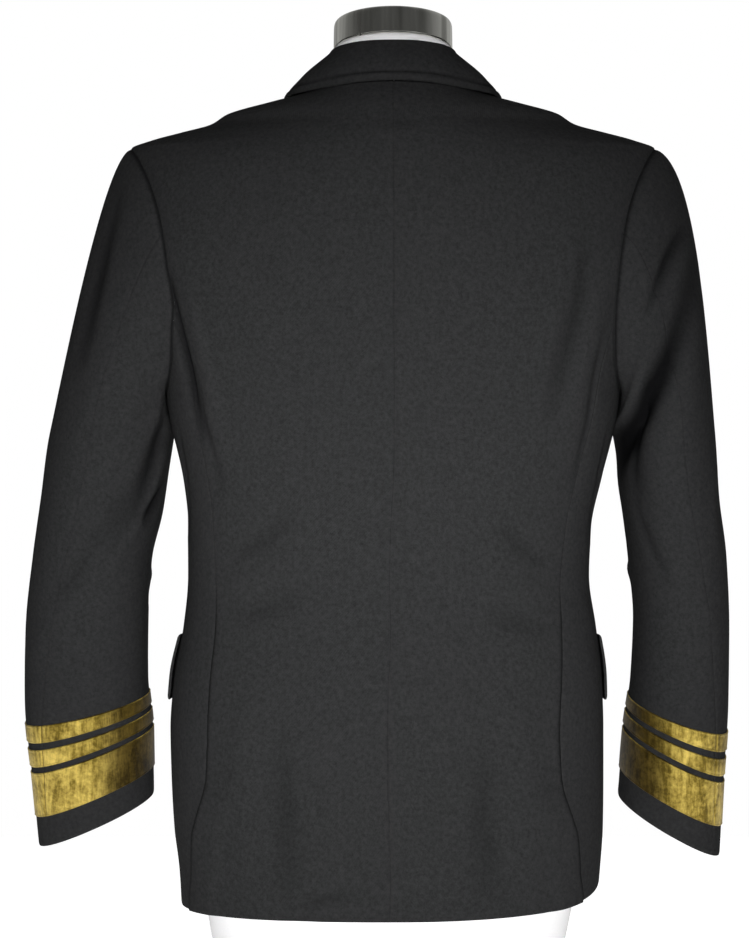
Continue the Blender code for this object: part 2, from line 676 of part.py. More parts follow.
def sleeve_grid(side):
    """Outer points and normals of a whole sleeve, from the armhole to the cuff."""
    sign = 1 if side == "left" else -1
    turns = sleeve_turns()
    count = len(turns)
    even = 2.0 * math.pi * np.arange(count) / count
    arm_angle = ARMHOLE_HALF_ANGLE * np.sin(turns)
    arm_height = ARMHOLE_MIDDLE + ARMHOLE_HALF_HEIGHT * np.cos(turns)
    armhole, _ = body_surface(mirrored(arm_angle, sign), arm_height)
    armhole[:, 0] *= sign
    top = (1.0 + np.cos(turns)) / 2.0
    leave = np.stack([np.ones(count), 0.25 * np.sin(turns), -0.28 - 0.25 * (1.0 - top)], axis=-1)
    leave = unit(leave) * (0.020 + HEAD_FULLNESS[side] * top)[:, None]
    table = SLEEVES[side]
    first = table[0][0]
    ring = sleeve_ring(side, 0.5 * turns + 0.5 * even, first)
    below = sleeve_ring(side, 0.5 * turns + 0.5 * even, first - 0.004)
    arrive = unit(below - ring) * (0.045 + 0.20 * top)[:, None]
    rows = []
    for t in np.linspace(0.0, 1.0, SLEEVE_HEAD_ROWS + 1)[:-1]:
        rows.append(
            armhole * (1.0 + 2.0 * t) * (1.0 - t) ** 2
            + leave * t * (1.0 - t) ** 2
            + ring * t * t * (3.0 - 2.0 * t)
            + arrive * t * t * (t - 1.0)
        )
    cuff = table[-1][0]
    edges = [cuff + place for row in LACE for place in row[1:]]
    heights = list(SLEEVE_ROWS) + sorted(edges, reverse=True) + [cuff]
    for height in heights:
        share = (first - height) / (first - cuff)
        blend = 0.5 + 0.5 * smooth_step(share * 2.0)
        turn = turns * (1.0 - blend) + even * blend + SLEEVE_TWIST * smooth_step(share)
        rows.append(sleeve_ring(side, turn, height))
    grid = np.array(rows)
    down = np.zeros(len(grid))
    steps = np.linalg.norm(np.diff(grid, axis=0), axis=-1).mean(axis=1)
    down[1:] = np.cumsum(steps) / steps.sum()
    normal = grid_normals(grid)
    lift = np.zeros(grid.shape[:2])
    for turn_0, down_0, turn_1, down_1, half_width, rise in SLEEVE_FOLDS[side]:
        start = (math.radians(turn_0), down_0 * 8.0)
        end = (math.radians(turn_1), down_1 * 8.0)
        lift += fold_rise(turns[None, :], down[:, None] * 8.0, start, end, half_width, rise)
    grid = grid + normal * lift[..., None]
    grid[..., 0] *= sign
    normal[..., 0] *= sign
    return grid, normal


def grid_normals(grid):
    """Normals of a grid that closes round along its second axis."""
    along = np.gradient(grid, axis=0)
    around = np.roll(grid, -1, axis=1) - np.roll(grid, 1, axis=1)
    return unit(np.cross(around, -along))


def sleeves(side):
    grid, normal = sleeve_grid(side)
    closed = np.concatenate([grid, grid[:, :1]], axis=1)
    facing = np.concatenate([normal, normal[:, :1]], axis=1)
    count = grid.shape[1]
    under = list(range(HINDARM, FOREARM + 1))
    upper = list(range(FOREARM, count)) + list(range(0, HINDARM + 1))
    for name, columns in (("top_sleeve_", upper), ("under_sleeve_", under)):
        outer = inset(closed[:, columns])
        outer = inset(outer, last=False, axis=0, amount=SEAM)
        wall_sheet(name + side, outer, outer - facing[:, columns] * WALL, "black_wool")
    cuff = SLEEVES[side][-1][0]
    rows = list(SLEEVE_ROWS) + sorted((cuff + p for r in LACE for p in r[1:]), reverse=True)
    for name, lower, upper_edge in LACE:
        low = SLEEVE_HEAD_ROWS + [abs(row - cuff - lower) < 1e-9 for row in rows].index(True)
        high = SLEEVE_HEAD_ROWS + [abs(row - cuff - upper_edge) < 1e-9 for row in rows].index(True)
        ring = grid[[high, low]] + normal[[high, low]] * SEAM
        lace_name = "lace_" + name + "_" + side
        wall_tube(lace_name, ring + normal[[high, low]] * LACE_WALL, ring, "gold_lace")


def pocket_flap(side, name):
    sign = 1 if side == "left" else -1
    share = np.linspace(0.0, 1.0, 8)[None, :]
    fall = np.linspace(0.0, 1.0, 3)[:, None]
    angle = FLAP_BACK_ANGLE + (FLAP_FRONT_ANGLE - FLAP_BACK_ANGLE) * share + 0.0 * fall
    height = FLAP_TOP + (FLAP_BOTTOM - FLAP_TOP) * fall + 0.0 * share
    lift = LAY + 0.0006 + FLAP_WALL + 0.0008 * np.sin(math.pi * fall)
    if sign < 0:
        angle = math.pi - angle
    outer, normal = body_surface(angle, height, lift + 0.0 * share)
    wall_sheet(name, outer, outer - normal * FLAP_WALL, "black_wool")


def breast_welt(name, panel):
    share = np.linspace(0.0, 1.0, 9)[None, :]
    up = np.linspace(0.0, 1.0, 3)[:, None]
    x = WELT_INNER + (WELT_OUTER - WELT_INNER) * share + 0.0 * up
    height = WELT_BOTTOM + (WELT_TOP - WELT_BOTTOM) * up + WELT_RISE * share
    wall = 0.0016
    outer, normal = front_place(panel, x, height, LAY + wall)
    wall_sheet(name, outer, outer - normal * wall, "black_wool")


def button(name, x, height, panel):
    """A plain domed button that stands on the lapped front."""
    centre, normal = front_place(panel, x, height, SEAM + 0.0002)
    side_way = unit(np.cross([0.0, 0.0, 1.0], normal))
    up_way = np.cross(normal, side_way)
    profile = ((0.62, 0.0), (0.95, 0.10), (1.0, 0.30), (0.84, 0.68), (0.45, 0.94))
    rings = []
    for radius, rise in profile:
        turns = 2.0 * math.pi * np.arange(12) / 12.0
        flat = np.outer(np.cos(turns), side_way) + np.outer(np.sin(turns), up_way)
        rings.append(centre + flat * BUTTON_RADIUS * radius + normal * BUTTON_RISE * rise)
    closed_body(name, np.array(rings), "gilt_button")


def form_ring(angle, height):
    """A ring of the dress form, inside the cloth by its ease."""
    half, centre, back, front, square = (curve(height + FORM_DROP) for curve in BODY_CURVES)
    side_ease, back_ease, front_ease = (curve(height) for curve in EASE_CURVES)
    cos, sin = np.cos(angle), np.sin(angle)
    depth = np.where(sin > 0.0, back - back_ease, front - front_ease)
    x = centre + (half - side_ease) * np.sign(cos) * np.abs(cos) ** (2.0 / square)
    y = depth * np.sign(sin) * np.abs(sin) ** (2.0 / square)
    return np.stack([x, y, height + 0.0 * x], axis=-1)


def ring_of(row, tilt):
    """An oval ring from a table row, higher at the back by its tilt."""
    height, half, back, front = row
    turns = 2.0 * math.pi * np.arange(FORM_ROUND) / FORM_ROUND
    depth = np.where(np.sin(turns) > 0.0, back, front)
    y = depth * np.sin(turns)
    return np.stack([half * np.cos(turns), y, height + tilt * y], axis=-1)


def dress_form():
    turns = 2.0 * math.pi * np.arange(FORM_ROUND) / FORM_ROUND
    lower = list(FORM_ROWS[1:])
    upper = [height - FORM_DROP for height in ROWS[16:]]
    rings = [form_ring(turns, np.full(FORM_ROUND, height)) for height in lower + upper]
    rings[0][:, :2] *= 0.985
    rings.insert(1, form_ring(turns, np.full(FORM_ROUND, 0.004)))
    for height, half, back, front, tilt in NECK:
        rings.append(ring_of((height, half, back, front), tilt))
    closed_body("dress_form", np.array(rings), "form_cover")
    cap = [ring_of(row, CAP_TILT) for row in CAP]
    closed_body("neck_cap", np.array(cap), "neck_metal")


def build():
    for item in list(bpy.data.objects):
        bpy.data.objects.remove(item, do_unlink=True)
    panels = {}
    for side, sign in (("left", 1), ("right", -1)):
        back_panel(sign, "back_" + side)
        side_panel(sign, "side_" + side)
        panel = front_panel(sign, "front_" + side)
        lapel(sign, "lapel_" + side, panel)
        panels[side] = panel
        sleeves(side)
        pocket_flap(side, "pocket_flap_" + side)
    collar("collar")
    breast_welt("breast_welt", panels["left"])
    number = 1
    for height in BUTTON_HEIGHTS:
        for across in (BUTTON_ACROSS, -BUTTON_ACROSS):
            button("button_" + str(number), across, height, panels["left"])
            number += 1
    dress_form()


build()
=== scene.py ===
"""Looks of the reefer jacket: finer cloth on the solids' own forms, with creases, lace and thread."""

import math

import bmesh
import bpy
import numpy as np
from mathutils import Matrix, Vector


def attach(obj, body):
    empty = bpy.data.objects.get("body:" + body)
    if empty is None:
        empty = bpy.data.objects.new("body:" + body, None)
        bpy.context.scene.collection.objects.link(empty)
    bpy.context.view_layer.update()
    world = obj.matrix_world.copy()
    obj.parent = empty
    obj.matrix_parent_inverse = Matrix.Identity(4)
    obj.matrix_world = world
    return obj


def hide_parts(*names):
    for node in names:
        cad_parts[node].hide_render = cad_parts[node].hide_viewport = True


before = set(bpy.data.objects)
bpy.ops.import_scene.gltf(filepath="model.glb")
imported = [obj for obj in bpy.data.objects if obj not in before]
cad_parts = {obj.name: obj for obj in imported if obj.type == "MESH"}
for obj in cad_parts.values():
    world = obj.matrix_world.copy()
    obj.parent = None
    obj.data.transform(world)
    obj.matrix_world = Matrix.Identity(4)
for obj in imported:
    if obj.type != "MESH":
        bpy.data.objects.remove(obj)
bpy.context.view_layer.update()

# Brings the middle of the whole part, seen from above, over the origin.
PLACE = (-0.01467, 0.01536, 0.0)

SIGN = {"left": 1, "right": -1}

# Walls, the gap at seams, and how far laid pieces stand off.
WALL = 0.0020
SEAM = 0.0003
LAY = 0.0006
LACE_WALL = 0.0010
FLAP_WALL = 0.0024
LAPEL_WALL = 0.0018
LAPEL_LAY = 0.0014

# The left front laps over the right one: how far it stands out, and where that fades
# across and up the front.
LAP_LIFT = 0.0068
LAP_SIDE = 0.128
LAP_SIDE_FADE = 0.045
LAP_TOP = 0.655
LAP_TOP_FADE = 0.050

# Rings of the jacket's body, from the hem to the neck.
# Columns: height, half width, centre, back, front, squareness.
BODY = (
    (0.020, 0.1835, 0.0040, 0.1180, 0.1210, 2.50),
    (0.075, 0.1875, 0.0030, 0.1200, 0.1230, 2.50),
    (0.112, 0.1910, 0.0040, 0.1215, 0.1245, 2.50),
    (0.158, 0.1925, 0.0050, 0.1220, 0.1255, 2.50),
    (0.200, 0.1930, 0.0055, 0.1210, 0.1250, 2.50),
    (0.245, 0.1905, 0.0045, 0.1165, 0.1235, 2.45),
    (0.290, 0.1840, 0.0030, 0.1085, 0.1215, 2.38),
    (0.335, 0.1790, 0.0040, 0.1015, 0.1205, 2.32),
    (0.380, 0.1805, 0.0030, 0.0990, 0.1215, 2.30),
    (0.425, 0.1875, 0.0005, 0.1010, 0.1255, 2.32),
    (0.452, 0.1940, 0.0000, 0.1032, 0.1290, 2.33),
    (0.470, 0.1985, 0.0000, 0.1050, 0.1315, 2.35),
    (0.515, 0.2050, 0.0000, 0.1095, 0.1375, 2.38),
    (0.560, 0.2155, 0.0000, 0.1130, 0.1415, 2.40),
    (0.600, 0.2240, 0.0000, 0.1150, 0.1400, 2.35),
    (0.635, 0.2285, 0.0000, 0.1145, 0.1350, 2.25),
    (0.665, 0.2310, 0.0000, 0.1115, 0.1280, 2.10),
    (0.690, 0.2325, 0.0000, 0.1070, 0.1190, 1.95),
    (0.706, 0.2335, 0.0000, 0.1035, 0.1110, 1.76),
    (0.716, 0.2340, 0.0000, 0.1005, 0.1050, 1.58),
    (0.7235, 0.2160, 0.0000, 0.0980, 0.0995, 1.50),
    (0.7305, 0.1900, 0.0000, 0.0950, 0.0940, 1.47),
    (0.7375, 0.1640, 0.0000, 0.0915, 0.0875, 1.45),
    (0.7475, 0.1470, 0.0000, 0.0855, 0.0770, 1.47),
    (0.7575, 0.1110, 0.0000, 0.0780, 0.0650, 1.55),
    (0.765, 0.0820, 0.0000, 0.0700, 0.0550, 1.80),
    (0.775, 0.0680, 0.0000, 0.0610, 0.0450, 2.00),
)

# Where the side body meets the back and the front, as angles round a ring.
# Columns: height, back left, back right, front.
SEAMS = (
    (0.020, 27.0, 33.0, 38.0),
    (0.075, 30.0, 36.0, 39.0),
    (0.112, 34.0, 39.0, 40.0),
    (0.158, 38.0, 42.0, 40.5),
    (0.200, 39.5, 43.0, 40.5),
    (0.245, 38.5, 41.0, 39.5),
    (0.290, 36.5, 38.0, 38.0),
    (0.335, 34.0, 35.0, 36.0),
    (0.380, 32.5, 33.0, 34.5),
    (0.425, 31.5, 32.0, 33.5),
    (0.470, 31.0, 31.0, 32.5),
    (0.515, 30.0, 30.0, 31.0),
    (0.560, 28.2, 28.2, 28.2),
)

# Columns: angle, height.
HEM = (
    (-180.0, 0.0640),
    (-90.0, 0.0440),
    (0.0, 0.0440),
    (50.0, 0.0410),
    (90.0, 0.0405),
    (130.0, 0.0450),
    (180.0, 0.0640),
)

# The side vents: how high they open, and how far the back laps over the side.
VENT_TOP = 0.158
VENT_FULL_TOP = 0.146
VENT_LAP = 0.012
VENT_LIFT = 0.0029
VENT_RADIUS = 0.16
VENT_LAP_FADE = 0.034
VENT_LIFT_FADE = 0.012
VENT_LIFT_FROM = 0.70
VENT_LIFT_SPREAD = 0.12

# The back's neckline rises to the middle. The side body is squeezed from here up.
NECK_CROWN = 0.005
SQUEEZE_START = 0.245

# Painted shade: a dark line painted beside the lower side seams of the back.
SEAM_SHADE = 0.75
SEAM_SHADE_TOP = 0.335
SEAM_SHADE_WIDTH = 0.0026
SEAM_SHADE_FADE = 0.05
ALL_SIDES = ("first", "last", "low", "high")

# Rows of the panels, as heights, and the one where the armhole starts.
ROWS = (
    0.0, 0.075, 0.112, 0.146, 0.158, 0.200, 0.245, 0.290, 0.335, 0.380, 0.425, 0.470, 0.515,
    0.560, 0.600, 0.635, 0.665, 0.690, 0.706, 0.716, 0.7235, 0.7305, 0.7375, 0.7475, 0.7575,
    0.765,
)
JOIN_ROW = 13
ARMHOLE_LOW = ROWS[JOIN_ROW]
SHOULDER_ROW = 19
SIDE_COLUMNS = 6

# The armhole, an oval on the body, and its seam: a dip in the cloth with painted shade along it.
ARMHOLE_MIDDLE = 0.6055
ARMHOLE_HALF_HEIGHT = 0.1105
ARMHOLE_HALF_ANGLE = math.radians(30.96)
ARMHOLE_SEAM = 0.0010
ARMHOLE_SEAM_WIDTH = 0.0018
ARMHOLE_SHADE = 0.8

# The inner edge of each front: straight edge, roll line, then neckline.
# Columns: height, past centre.
FRONT_EDGE = (
    (0.020, -0.0760),
    (0.300, -0.0780),
    (0.490, -0.0780),
    (0.520, -0.0640),
    (0.600, -0.0190),
    (0.716, 0.0490),
    (0.7235, 0.0525),
    (0.7305, 0.0560),
    (0.7375, 0.0600),
    (0.7475, 0.0655),
    (0.7575, 0.0710),
    (0.765, 0.0760),
)

# A lapel: where its roll and its outer edge stand at each height.
# Columns: roll height, edge height, edge x.
LAPEL = (
    (0.500, 0.494, -0.0660),
    (0.530, 0.525, -0.0260),
    (0.565, 0.562, 0.0160),
    (0.600, 0.602, 0.0560),
    (0.635, 0.645, 0.0930),
    (0.670, 0.688, 0.1220),
    (0.700, 0.720, 0.1360),
    (0.7150, 0.702, 0.0990),
)

# A lapel's turn round the front's edge, the roll behind it, the curl of its outer
# edge, the widths at which both are full, and the height above which the right one shows.
LAPEL_WRAP = np.radians(np.linspace(-80.0, 90.0, 12))
LAPEL_TURN = 0.0004
LAPEL_ROLL = 0.0026
LAPEL_ROLL_AT = 0.010
LAPEL_ROLL_WIDTH = 0.012
LAPEL_ROLL_FULL = 0.05
LAPEL_CURL = 0.0012
LAPEL_CURL_FROM = 0.72
LAPEL_CURL_FULL = 0.08
LAPEL_SHOWN = 0.635
LAPEL_SHOWN_FADE = 0.030

# Half of the collar, from the centre back to its front end. The seam follows
# the neckline at an angle round the neck, then the fronts at a height. The
# edge lies just over the body, at an angle and a height of its own.
# Columns: seam angle, seam height, fold, edge angle, edge height.
COLLAR = (
    (90.0, 0.7700, (0.0000, 0.0515, 0.8065), 90.0, 0.7680),
    (66.0, 0.7692, (0.0205, 0.0485, 0.8063), 67.0, 0.7672),
    (42.0, 0.7672, (0.0390, 0.0385, 0.8050), 47.0, 0.7640),
    (18.0, 0.7655, (0.0510, 0.0215, 0.8030), 24.0, 0.7612),
    (0.0, 0.7650, (0.0560, -0.0010, 0.8000), 0.0, 0.7618),
    (-20.0, 0.7652, (0.0575, -0.0150, 0.7945), -18.0, 0.7590),
    (None, 0.7590, (0.0585, -0.0280, 0.7880), -34.6, 0.7535),
    (None, 0.7430, (0.0590, -0.0600, 0.7640), -44.8, 0.7365),
    (None, 0.7245, (0.0520, -0.0930, 0.7360), -59.0, 0.7155),
)
COLLAR_LAY = 0.0036

# The collar's bend over its stand: the stand's full height, the bend's radius, how far
# its two sides start below the fold, and how far the fall bellies out.
COLLAR_TALL = 0.034
COLLAR_LEAST = 0.25
COLLAR_BEND = 0.0030
COLLAR_INSIDE = 0.0042
COLLAR_OUTSIDE = 0.0036
COLLAR_BELLY = 0.0032
COLLAR_ROWS = 150
COLLAR_COLUMNS = 46

# How far the collar's seam stands clear of the neckline, above it and before it.
COLLAR_CLEAR = 0.0014
COLLAR_CLEAR_FRONT = 0.0006

# The line sewn along the collar's edge, with painted shade in its groove, and how the edge droops to
# the body.
COLLAR_LINE = 0.0072
COLLAR_LINE_WIDTH = 0.0012
COLLAR_LINE_SHADE = 0.7
COLLAR_GROOVE = 0.0017
COLLAR_DROOP = 0.0021
COLLAR_DROOP_REACH = 0.0075

# Sleeves below the armhole, ring by ring, seen as if both were the left one.
# Columns: height, outer, inner, middle, half depth, tilt across, tilt deep.
SLEEVES = {
    "left": (
        (0.470, 0.3050, 0.1972, -0.026, 0.0630, 0.20, 0.00),
        (0.442, 0.3110, 0.2015, -0.027, 0.0610, 0.18, -0.01),
        (0.400, 0.3170, 0.2075, -0.030, 0.0590, 0.14, -0.02),
        (0.350, 0.3250, 0.2180, -0.034, 0.0550, 0.06, -0.06),
        (0.290, 0.3325, 0.2215, -0.042, 0.0510, -0.06, -0.12),
        (0.230, 0.3345, 0.2225, -0.054, 0.0470, -0.20, -0.17),
        (0.170, 0.3290, 0.2190, -0.068, 0.0430, -0.38, -0.18),
        (0.110, 0.3245, 0.2190, -0.082, 0.0400, -0.44, -0.18),
    ),
    "right": (
        (0.470, 0.2885, 0.1972, -0.026, 0.0690, 0.20, 0.00),
        (0.442, 0.2910, 0.2000, -0.027, 0.0670, 0.18, -0.01),
        (0.400, 0.2940, 0.2070, -0.030, 0.0650, 0.14, -0.02),
        (0.350, 0.3010, 0.2130, -0.034, 0.0620, 0.06, -0.06),
        (0.290, 0.3045, 0.2180, -0.042, 0.0580, -0.08, -0.12),
        (0.230, 0.3050, 0.2165, -0.054, 0.0540, -0.26, -0.17),
        (0.170, 0.3020, 0.2110, -0.068, 0.0510, -0.50, -0.18),
        (0.105, 0.3000, 0.2070, -0.082, 0.0480, -0.56, -0.18),
    ),
}
HEAD_FULLNESS = {"left": 0.048, "right": 0.095}

# How strongly a sleeve's head leaves the armhole, and meets the first ring.
HEAD_PULL = 0.020
ARM_PULL = 0.045
ARM_PULL_TOP = 0.20
RING_STEP = 0.004

# Close rows at a sleeve's head, as shares, and at its cuff, as heights; the head's puckers.
HEAD_FIRST = (-0.014, 0.0, 0.010, 0.026)
HEAD_PUCKER = 1.6
CUFF_ROWS = 0.005
CUFF_LAST = (0.0026, 0.0014, 0.0006, 0.0)

SLEEVE_TWIST = math.radians(-40.0)
HINDARM = 4
FOREARM = 12

# Gold lace on a sleeve, measured up from the cuff's edge.
# Columns: name, lower, upper.
LACE = (
    ("broad", 0.0270, 0.0660),
    ("middle", 0.0710, 0.0850),
    ("upper", 0.0905, 0.1045),
)
LACE_EDGE = (0.0, 0.0004, 0.0008, 0.0013, 0.0018, 0.0024)
LACE_DIP = 0.0004
LACE_STEP = 0.0022
LACE_GAP = 0.012
LACE_COLUMNS = 200

# The lace's profile: a bead near each edge, a raised middle, and the base, as shares of its wall.
BEAD_AT = 0.0009
BEAD_WIDTH = 0.0006
RAISED_FROM = 0.0016
RAISED_FADE = 0.0010
BASE_SHARE = 0.55
BEAD_SHARE = 0.55
RAISED_SHARE = 0.22

# Turns round the arm between which the lace gets painted shade, on the arm's inner side.
LACE_SHADE_FROM = 124.0
LACE_SHADE_TO = 292.0
LACE_SHADE_FADES = (40.0, 50.0)

FLAP_LAY = 0.0006
FLAP_STEP = 0.0032
FLAP_BELLY = 0.0008
FLAP_WAVE = 0.0006
FLAP_CORNER = 0.012
FLAP_RADIUS = 0.20
FLAP_TOP = 0.2815
FLAP_BOTTOM = 0.2240
FLAP_BACK_ANGLE = math.radians(4.0)
FLAP_FRONT_ANGLE = math.radians(-54.0)
WELT_INNER = 0.094
WELT_OUTER = 0.168
WELT_BOTTOM = 0.586
WELT_TOP = 0.609
WELT_RISE = 0.010
WELT_WALL = 0.0016
WELT_DIP = 0.0007
WELT_STEP = 0.0030
BUTTON_LAY = 0.0002
BUTTON_RADIUS = 0.0115
BUTTON_RISE = 0.0052
BUTTON_ACROSS = 0.057
BUTTON_HEIGHTS = (0.462, 0.367, 0.272, 0.177)

# The dress form: how far it stays inside the cloth's outer face.
# Columns: height, side, back, front.
EASE = (
    (0.000, 0.0280, 0.0200, 0.0220),
    (0.060, 0.0200, 0.0150, 0.0170),
    (0.160, 0.0150, 0.0110, 0.0130),
    (0.380, 0.0130, 0.0090, 0.0120),
    (0.520, 0.0170, 0.0085, 0.0120),
    (0.600, 0.0230, 0.0085, 0.0120),
    (0.665, 0.0200, 0.0080, 0.0110),
    (0.700, 0.0150, 0.0065, 0.0085),
    (0.7135, 0.0040, 0.0055, 0.0070),
    (0.7200, 0.0000, 0.0050, 0.0060),
    (0.752, 0.0000, 0.0052, 0.0062),
    (0.765, 0.0020, 0.0060, 0.0070),
)
FORM_DROP = 0.0029
FORM_ROUND = 96
# Columns: height, half width, back, front, tilt.
NECK = (
    (0.7690, 0.0620, 0.0530, 0.0520, 0.02),
    (0.7760, 0.0545, 0.0470, 0.0560, 0.06),
    (0.7860, 0.0508, 0.0445, 0.0580, 0.12),
    (0.8000, 0.0510, 0.0442, 0.0580, 0.21),
    (0.8037, 0.0524, 0.0454, 0.0600, 0.23),
)
# Columns: height, half width, back, front.
CAP = (
    (0.8040, 0.0500, 0.0430, 0.0580),
    (0.8047, 0.0523, 0.0453, 0.0603),
    (0.8064, 0.0531, 0.0461, 0.0611),
    (0.8236, 0.0528, 0.0458, 0.0608),
    (0.8277, 0.0514, 0.0444, 0.0594),
    (0.8290, 0.0470, 0.0400, 0.0550),
)
CAP_TILT = 0.23


def cubic(start, end, start_slope, end_slope, t):
    """A cubic between two values, its slopes given for the whole span."""
    return (
        start * (1.0 + 2.0 * t) * (1.0 - t) ** 2
        + start_slope * t * (1.0 - t) ** 2
        + end * t * t * (3.0 - 2.0 * t)
        + end_slope * t * t * (t - 1.0)
    )


def smooth_curve(places, values):
    """A curve through the given values that never overshoots them."""
    places = np.asarray(places, dtype=float)
    values = np.asarray(values, dtype=float)
    order = np.argsort(places)
    places, values = places[order], values[order]
    step = np.diff(places)
    rise = np.diff(values) / step
    slope = np.zeros_like(values)
    slope[0], slope[-1] = rise[0], rise[-1]
    before, after = rise[:-1], rise[1:]
    same = before * after > 0.0
    near = 2.0 * step[1:] + step[:-1]
    far = step[1:] + 2.0 * step[:-1]
    safe_before = np.where(same, before, 1.0)
    safe_after = np.where(same, after, 1.0)
    slope[1:-1] = np.where(same, (near + far) / (near / safe_before + far / safe_after), 0.0)

    def at(place):
        place = np.clip(place, places[0], places[-1])
        i = np.clip(np.searchsorted(places, place, side="right") - 1, 0, len(step) - 1)
        t = (place - places[i]) / step[i]
        return cubic(values[i], values[i + 1], slope[i] * step[i], slope[i + 1] * step[i], t)

    return at


def table_curves(table):
    """One curve for each column of a table, over its first column."""
    columns = list(zip(*table))
    return [smooth_curve(columns[0], column) for column in columns[1:]]


def smooth_step(t):
    """From 0 to 1 with soft ends."""
    t = np.clip(t, 0.0, 1.0)
    return t * t * (3.0 - 2.0 * t)


BODY_CURVES = table_curves(BODY)
SEAM_CURVES = table_curves(SEAMS)
HEM_CURVE = table_curves(HEM)[0]
EASE_CURVES = table_curves(EASE)
FRONT_EDGE_CURVE = table_curves(FRONT_EDGE)[0]
NECK_CURVES = table_curves(NECK)
SLEEVE_CURVES = {side: table_curves(rows) for side, rows in SLEEVES.items()}


def squared_oval(angle, height, half, centre, back, front, square):
    """Points round an oval that grows squarer as square rises above two."""
    cos, sin = np.cos(angle), np.sin(angle)
    depth = np.where(sin > 0.0, back, front)
    x = centre + half * np.sign(cos) * np.abs(cos) ** (2.0 / square)
    y = depth * np.sign(sin) * np.abs(sin) ** (2.0 / square)
    return np.stack(np.broadcast_arrays(x, y, height), axis=-1)


def plain_body(angle, height):
    """The smooth surface that all body panels are cut from."""
    half, centre, back, front, square = (curve(height) for curve in BODY_CURVES)
    return squared_oval(angle, height, half, centre, back, front, square)


def unit(vectors):
    """Vectors scaled to length 1."""
    return vectors / np.linalg.norm(vectors, axis=-1, keepdims=True)


def body_normal(angle, height):
    """Outward normals of the plain body."""
    turn = plain_body(angle + 0.004, height) - plain_body(angle - 0.004, height)
    climb = plain_body(angle, height + 0.0006) - plain_body(angle, height - 0.0006)
    return unit(np.cross(turn, climb))


def angle_of_x(x, height):
    """The angle, on the front, at which a ring passes a place across."""
    half, centre, _, _, square = (curve(height) for curve in BODY_CURVES)
    share = (x - centre) / half
    cos = np.sign(share) * np.abs(share) ** (square / 2.0)
    return -np.arccos(np.clip(cos, -1.0, 1.0))


def mirrored(angle, side):
    """The same place on the right half, where side is below zero."""
    return angle if side > 0 else math.pi - angle


def armhole_angle(height):
    """Half the armhole's opening, as an angle round the body, at a height."""
    share = np.clip((height - ARMHOLE_MIDDLE) / ARMHOLE_HALF_HEIGHT, -1.0, 1.0)
    return ARMHOLE_HALF_ANGLE * np.sqrt(1.0 - share * share)


def seam_angle(column, height):
    """The panel's edge: a side seam, then the armhole, then the shoulder seam."""
    seam = np.radians(SEAM_CURVES[column](height))
    above = np.where(height < 0.7155, armhole_angle(height), 0.0)
    return np.where(height <= ROWS[JOIN_ROW] + 1e-6, seam, above)


def hem_height(angle):
    """The hem, which hangs a little lower on one side."""
    turn = np.degrees(np.arctan2(np.sin(angle), np.cos(angle)))
    return HEM_CURVE(turn)


def front_lift(side, x, height):
    """The left front laps over the right one, so it stands further out."""
    if side < 0:
        return 0.0 * x
    across = smooth_step((LAP_SIDE - x) / LAP_SIDE_FADE)
    up = 1.0 - smooth_step((height - LAP_TOP) / LAP_TOP_FADE)
    return LAP_LIFT * across * up


def collar_seam(angle, height):
    """A place on the neckline, half way through the wall and just clear of it."""
    if angle is not None:
        outer, normal = body_surface(math.radians(angle), height)
        return outer - normal * WALL / 2.0 + np.array([0.0, 0.0, COLLAR_CLEAR])
    x = FRONT_EDGE_CURVE(height) - WALL / 2.0 - COLLAR_CLEAR_FRONT
    outer, normal = body_surface(angle_of_x(x, np.array(height)), height)
    return outer - normal * WALL / 2.0


def collar_rows():
    """Both halves of the collar's three guide lines, from end to end."""
    half = []
    for seam_at, seam_height, fold, edge_at, edge_height in COLLAR:
        outer, normal = body_surface(math.radians(edge_at), edge_height)
        half.append((collar_seam(seam_at, seam_height), fold, outer + normal * COLLAR_LAY))
    half = np.array(half)
    half[0, :, 0] = 0.0
    other = half[::-1].copy()[:-1]
    other[..., 0] *= -1.0
    return np.concatenate([other, half])


def sleeve_turns():
    """Angles round the armhole that match the edges of the panels beside it."""
    rows = np.array(ROWS[JOIN_ROW : SHOULDER_ROW + 1])
    upper = np.arccos(np.clip((rows - ARMHOLE_MIDDLE) / ARMHOLE_HALF_HEIGHT, -1.0, 1.0))[::-1]
    join = armhole_angle(ROWS[JOIN_ROW])
    inner = join * np.array([2.0, 1.0]) / (SIDE_COLUMNS / 2.0)
    lower = math.pi - np.arcsin(inner / ARMHOLE_HALF_ANGLE)
    half = np.concatenate([upper, lower])
    return np.concatenate([half, [math.pi], 2.0 * math.pi - half[:0:-1]])


def sleeve_ring(side, turn, height):
    """A ring of the sleeve below the armhole, as if on the left."""
    outer, inner, middle, depth, across, deep = (curve(height) for curve in SLEEVE_CURVES[side])
    half = (outer - inner) / 2.0
    centre = (outer + inner) / 2.0
    cos, sin = np.cos(turn), np.sin(turn)
    dx = half * np.sign(cos) * np.abs(cos) ** 0.92
    dy = depth * np.sign(sin) * np.abs(sin) ** 0.92
    return np.stack([centre + dx, middle + dy, height + across * dx + deep * dy], axis=-1)


def form_ring(angle, height):
    """A ring of the dress form, inside the cloth by its ease."""
    half, centre, back, front, square = (curve(height + FORM_DROP) for curve in BODY_CURVES)
    side, behind, before = (curve(height) for curve in EASE_CURVES)
    return squared_oval(angle, height, half - side, centre, back - behind, front - before, square)


def ring_of(row, tilt, count):
    """An oval ring from a table row, higher at the back by its tilt."""
    height, half, back, front = row
    turns = 2.0 * math.pi * np.arange(count) / count
    depth = np.where(np.sin(turns) > 0.0, back, front)
    y = depth * np.sin(turns)
    return np.stack([half * np.cos(turns), y, height + tilt * y], axis=-1)


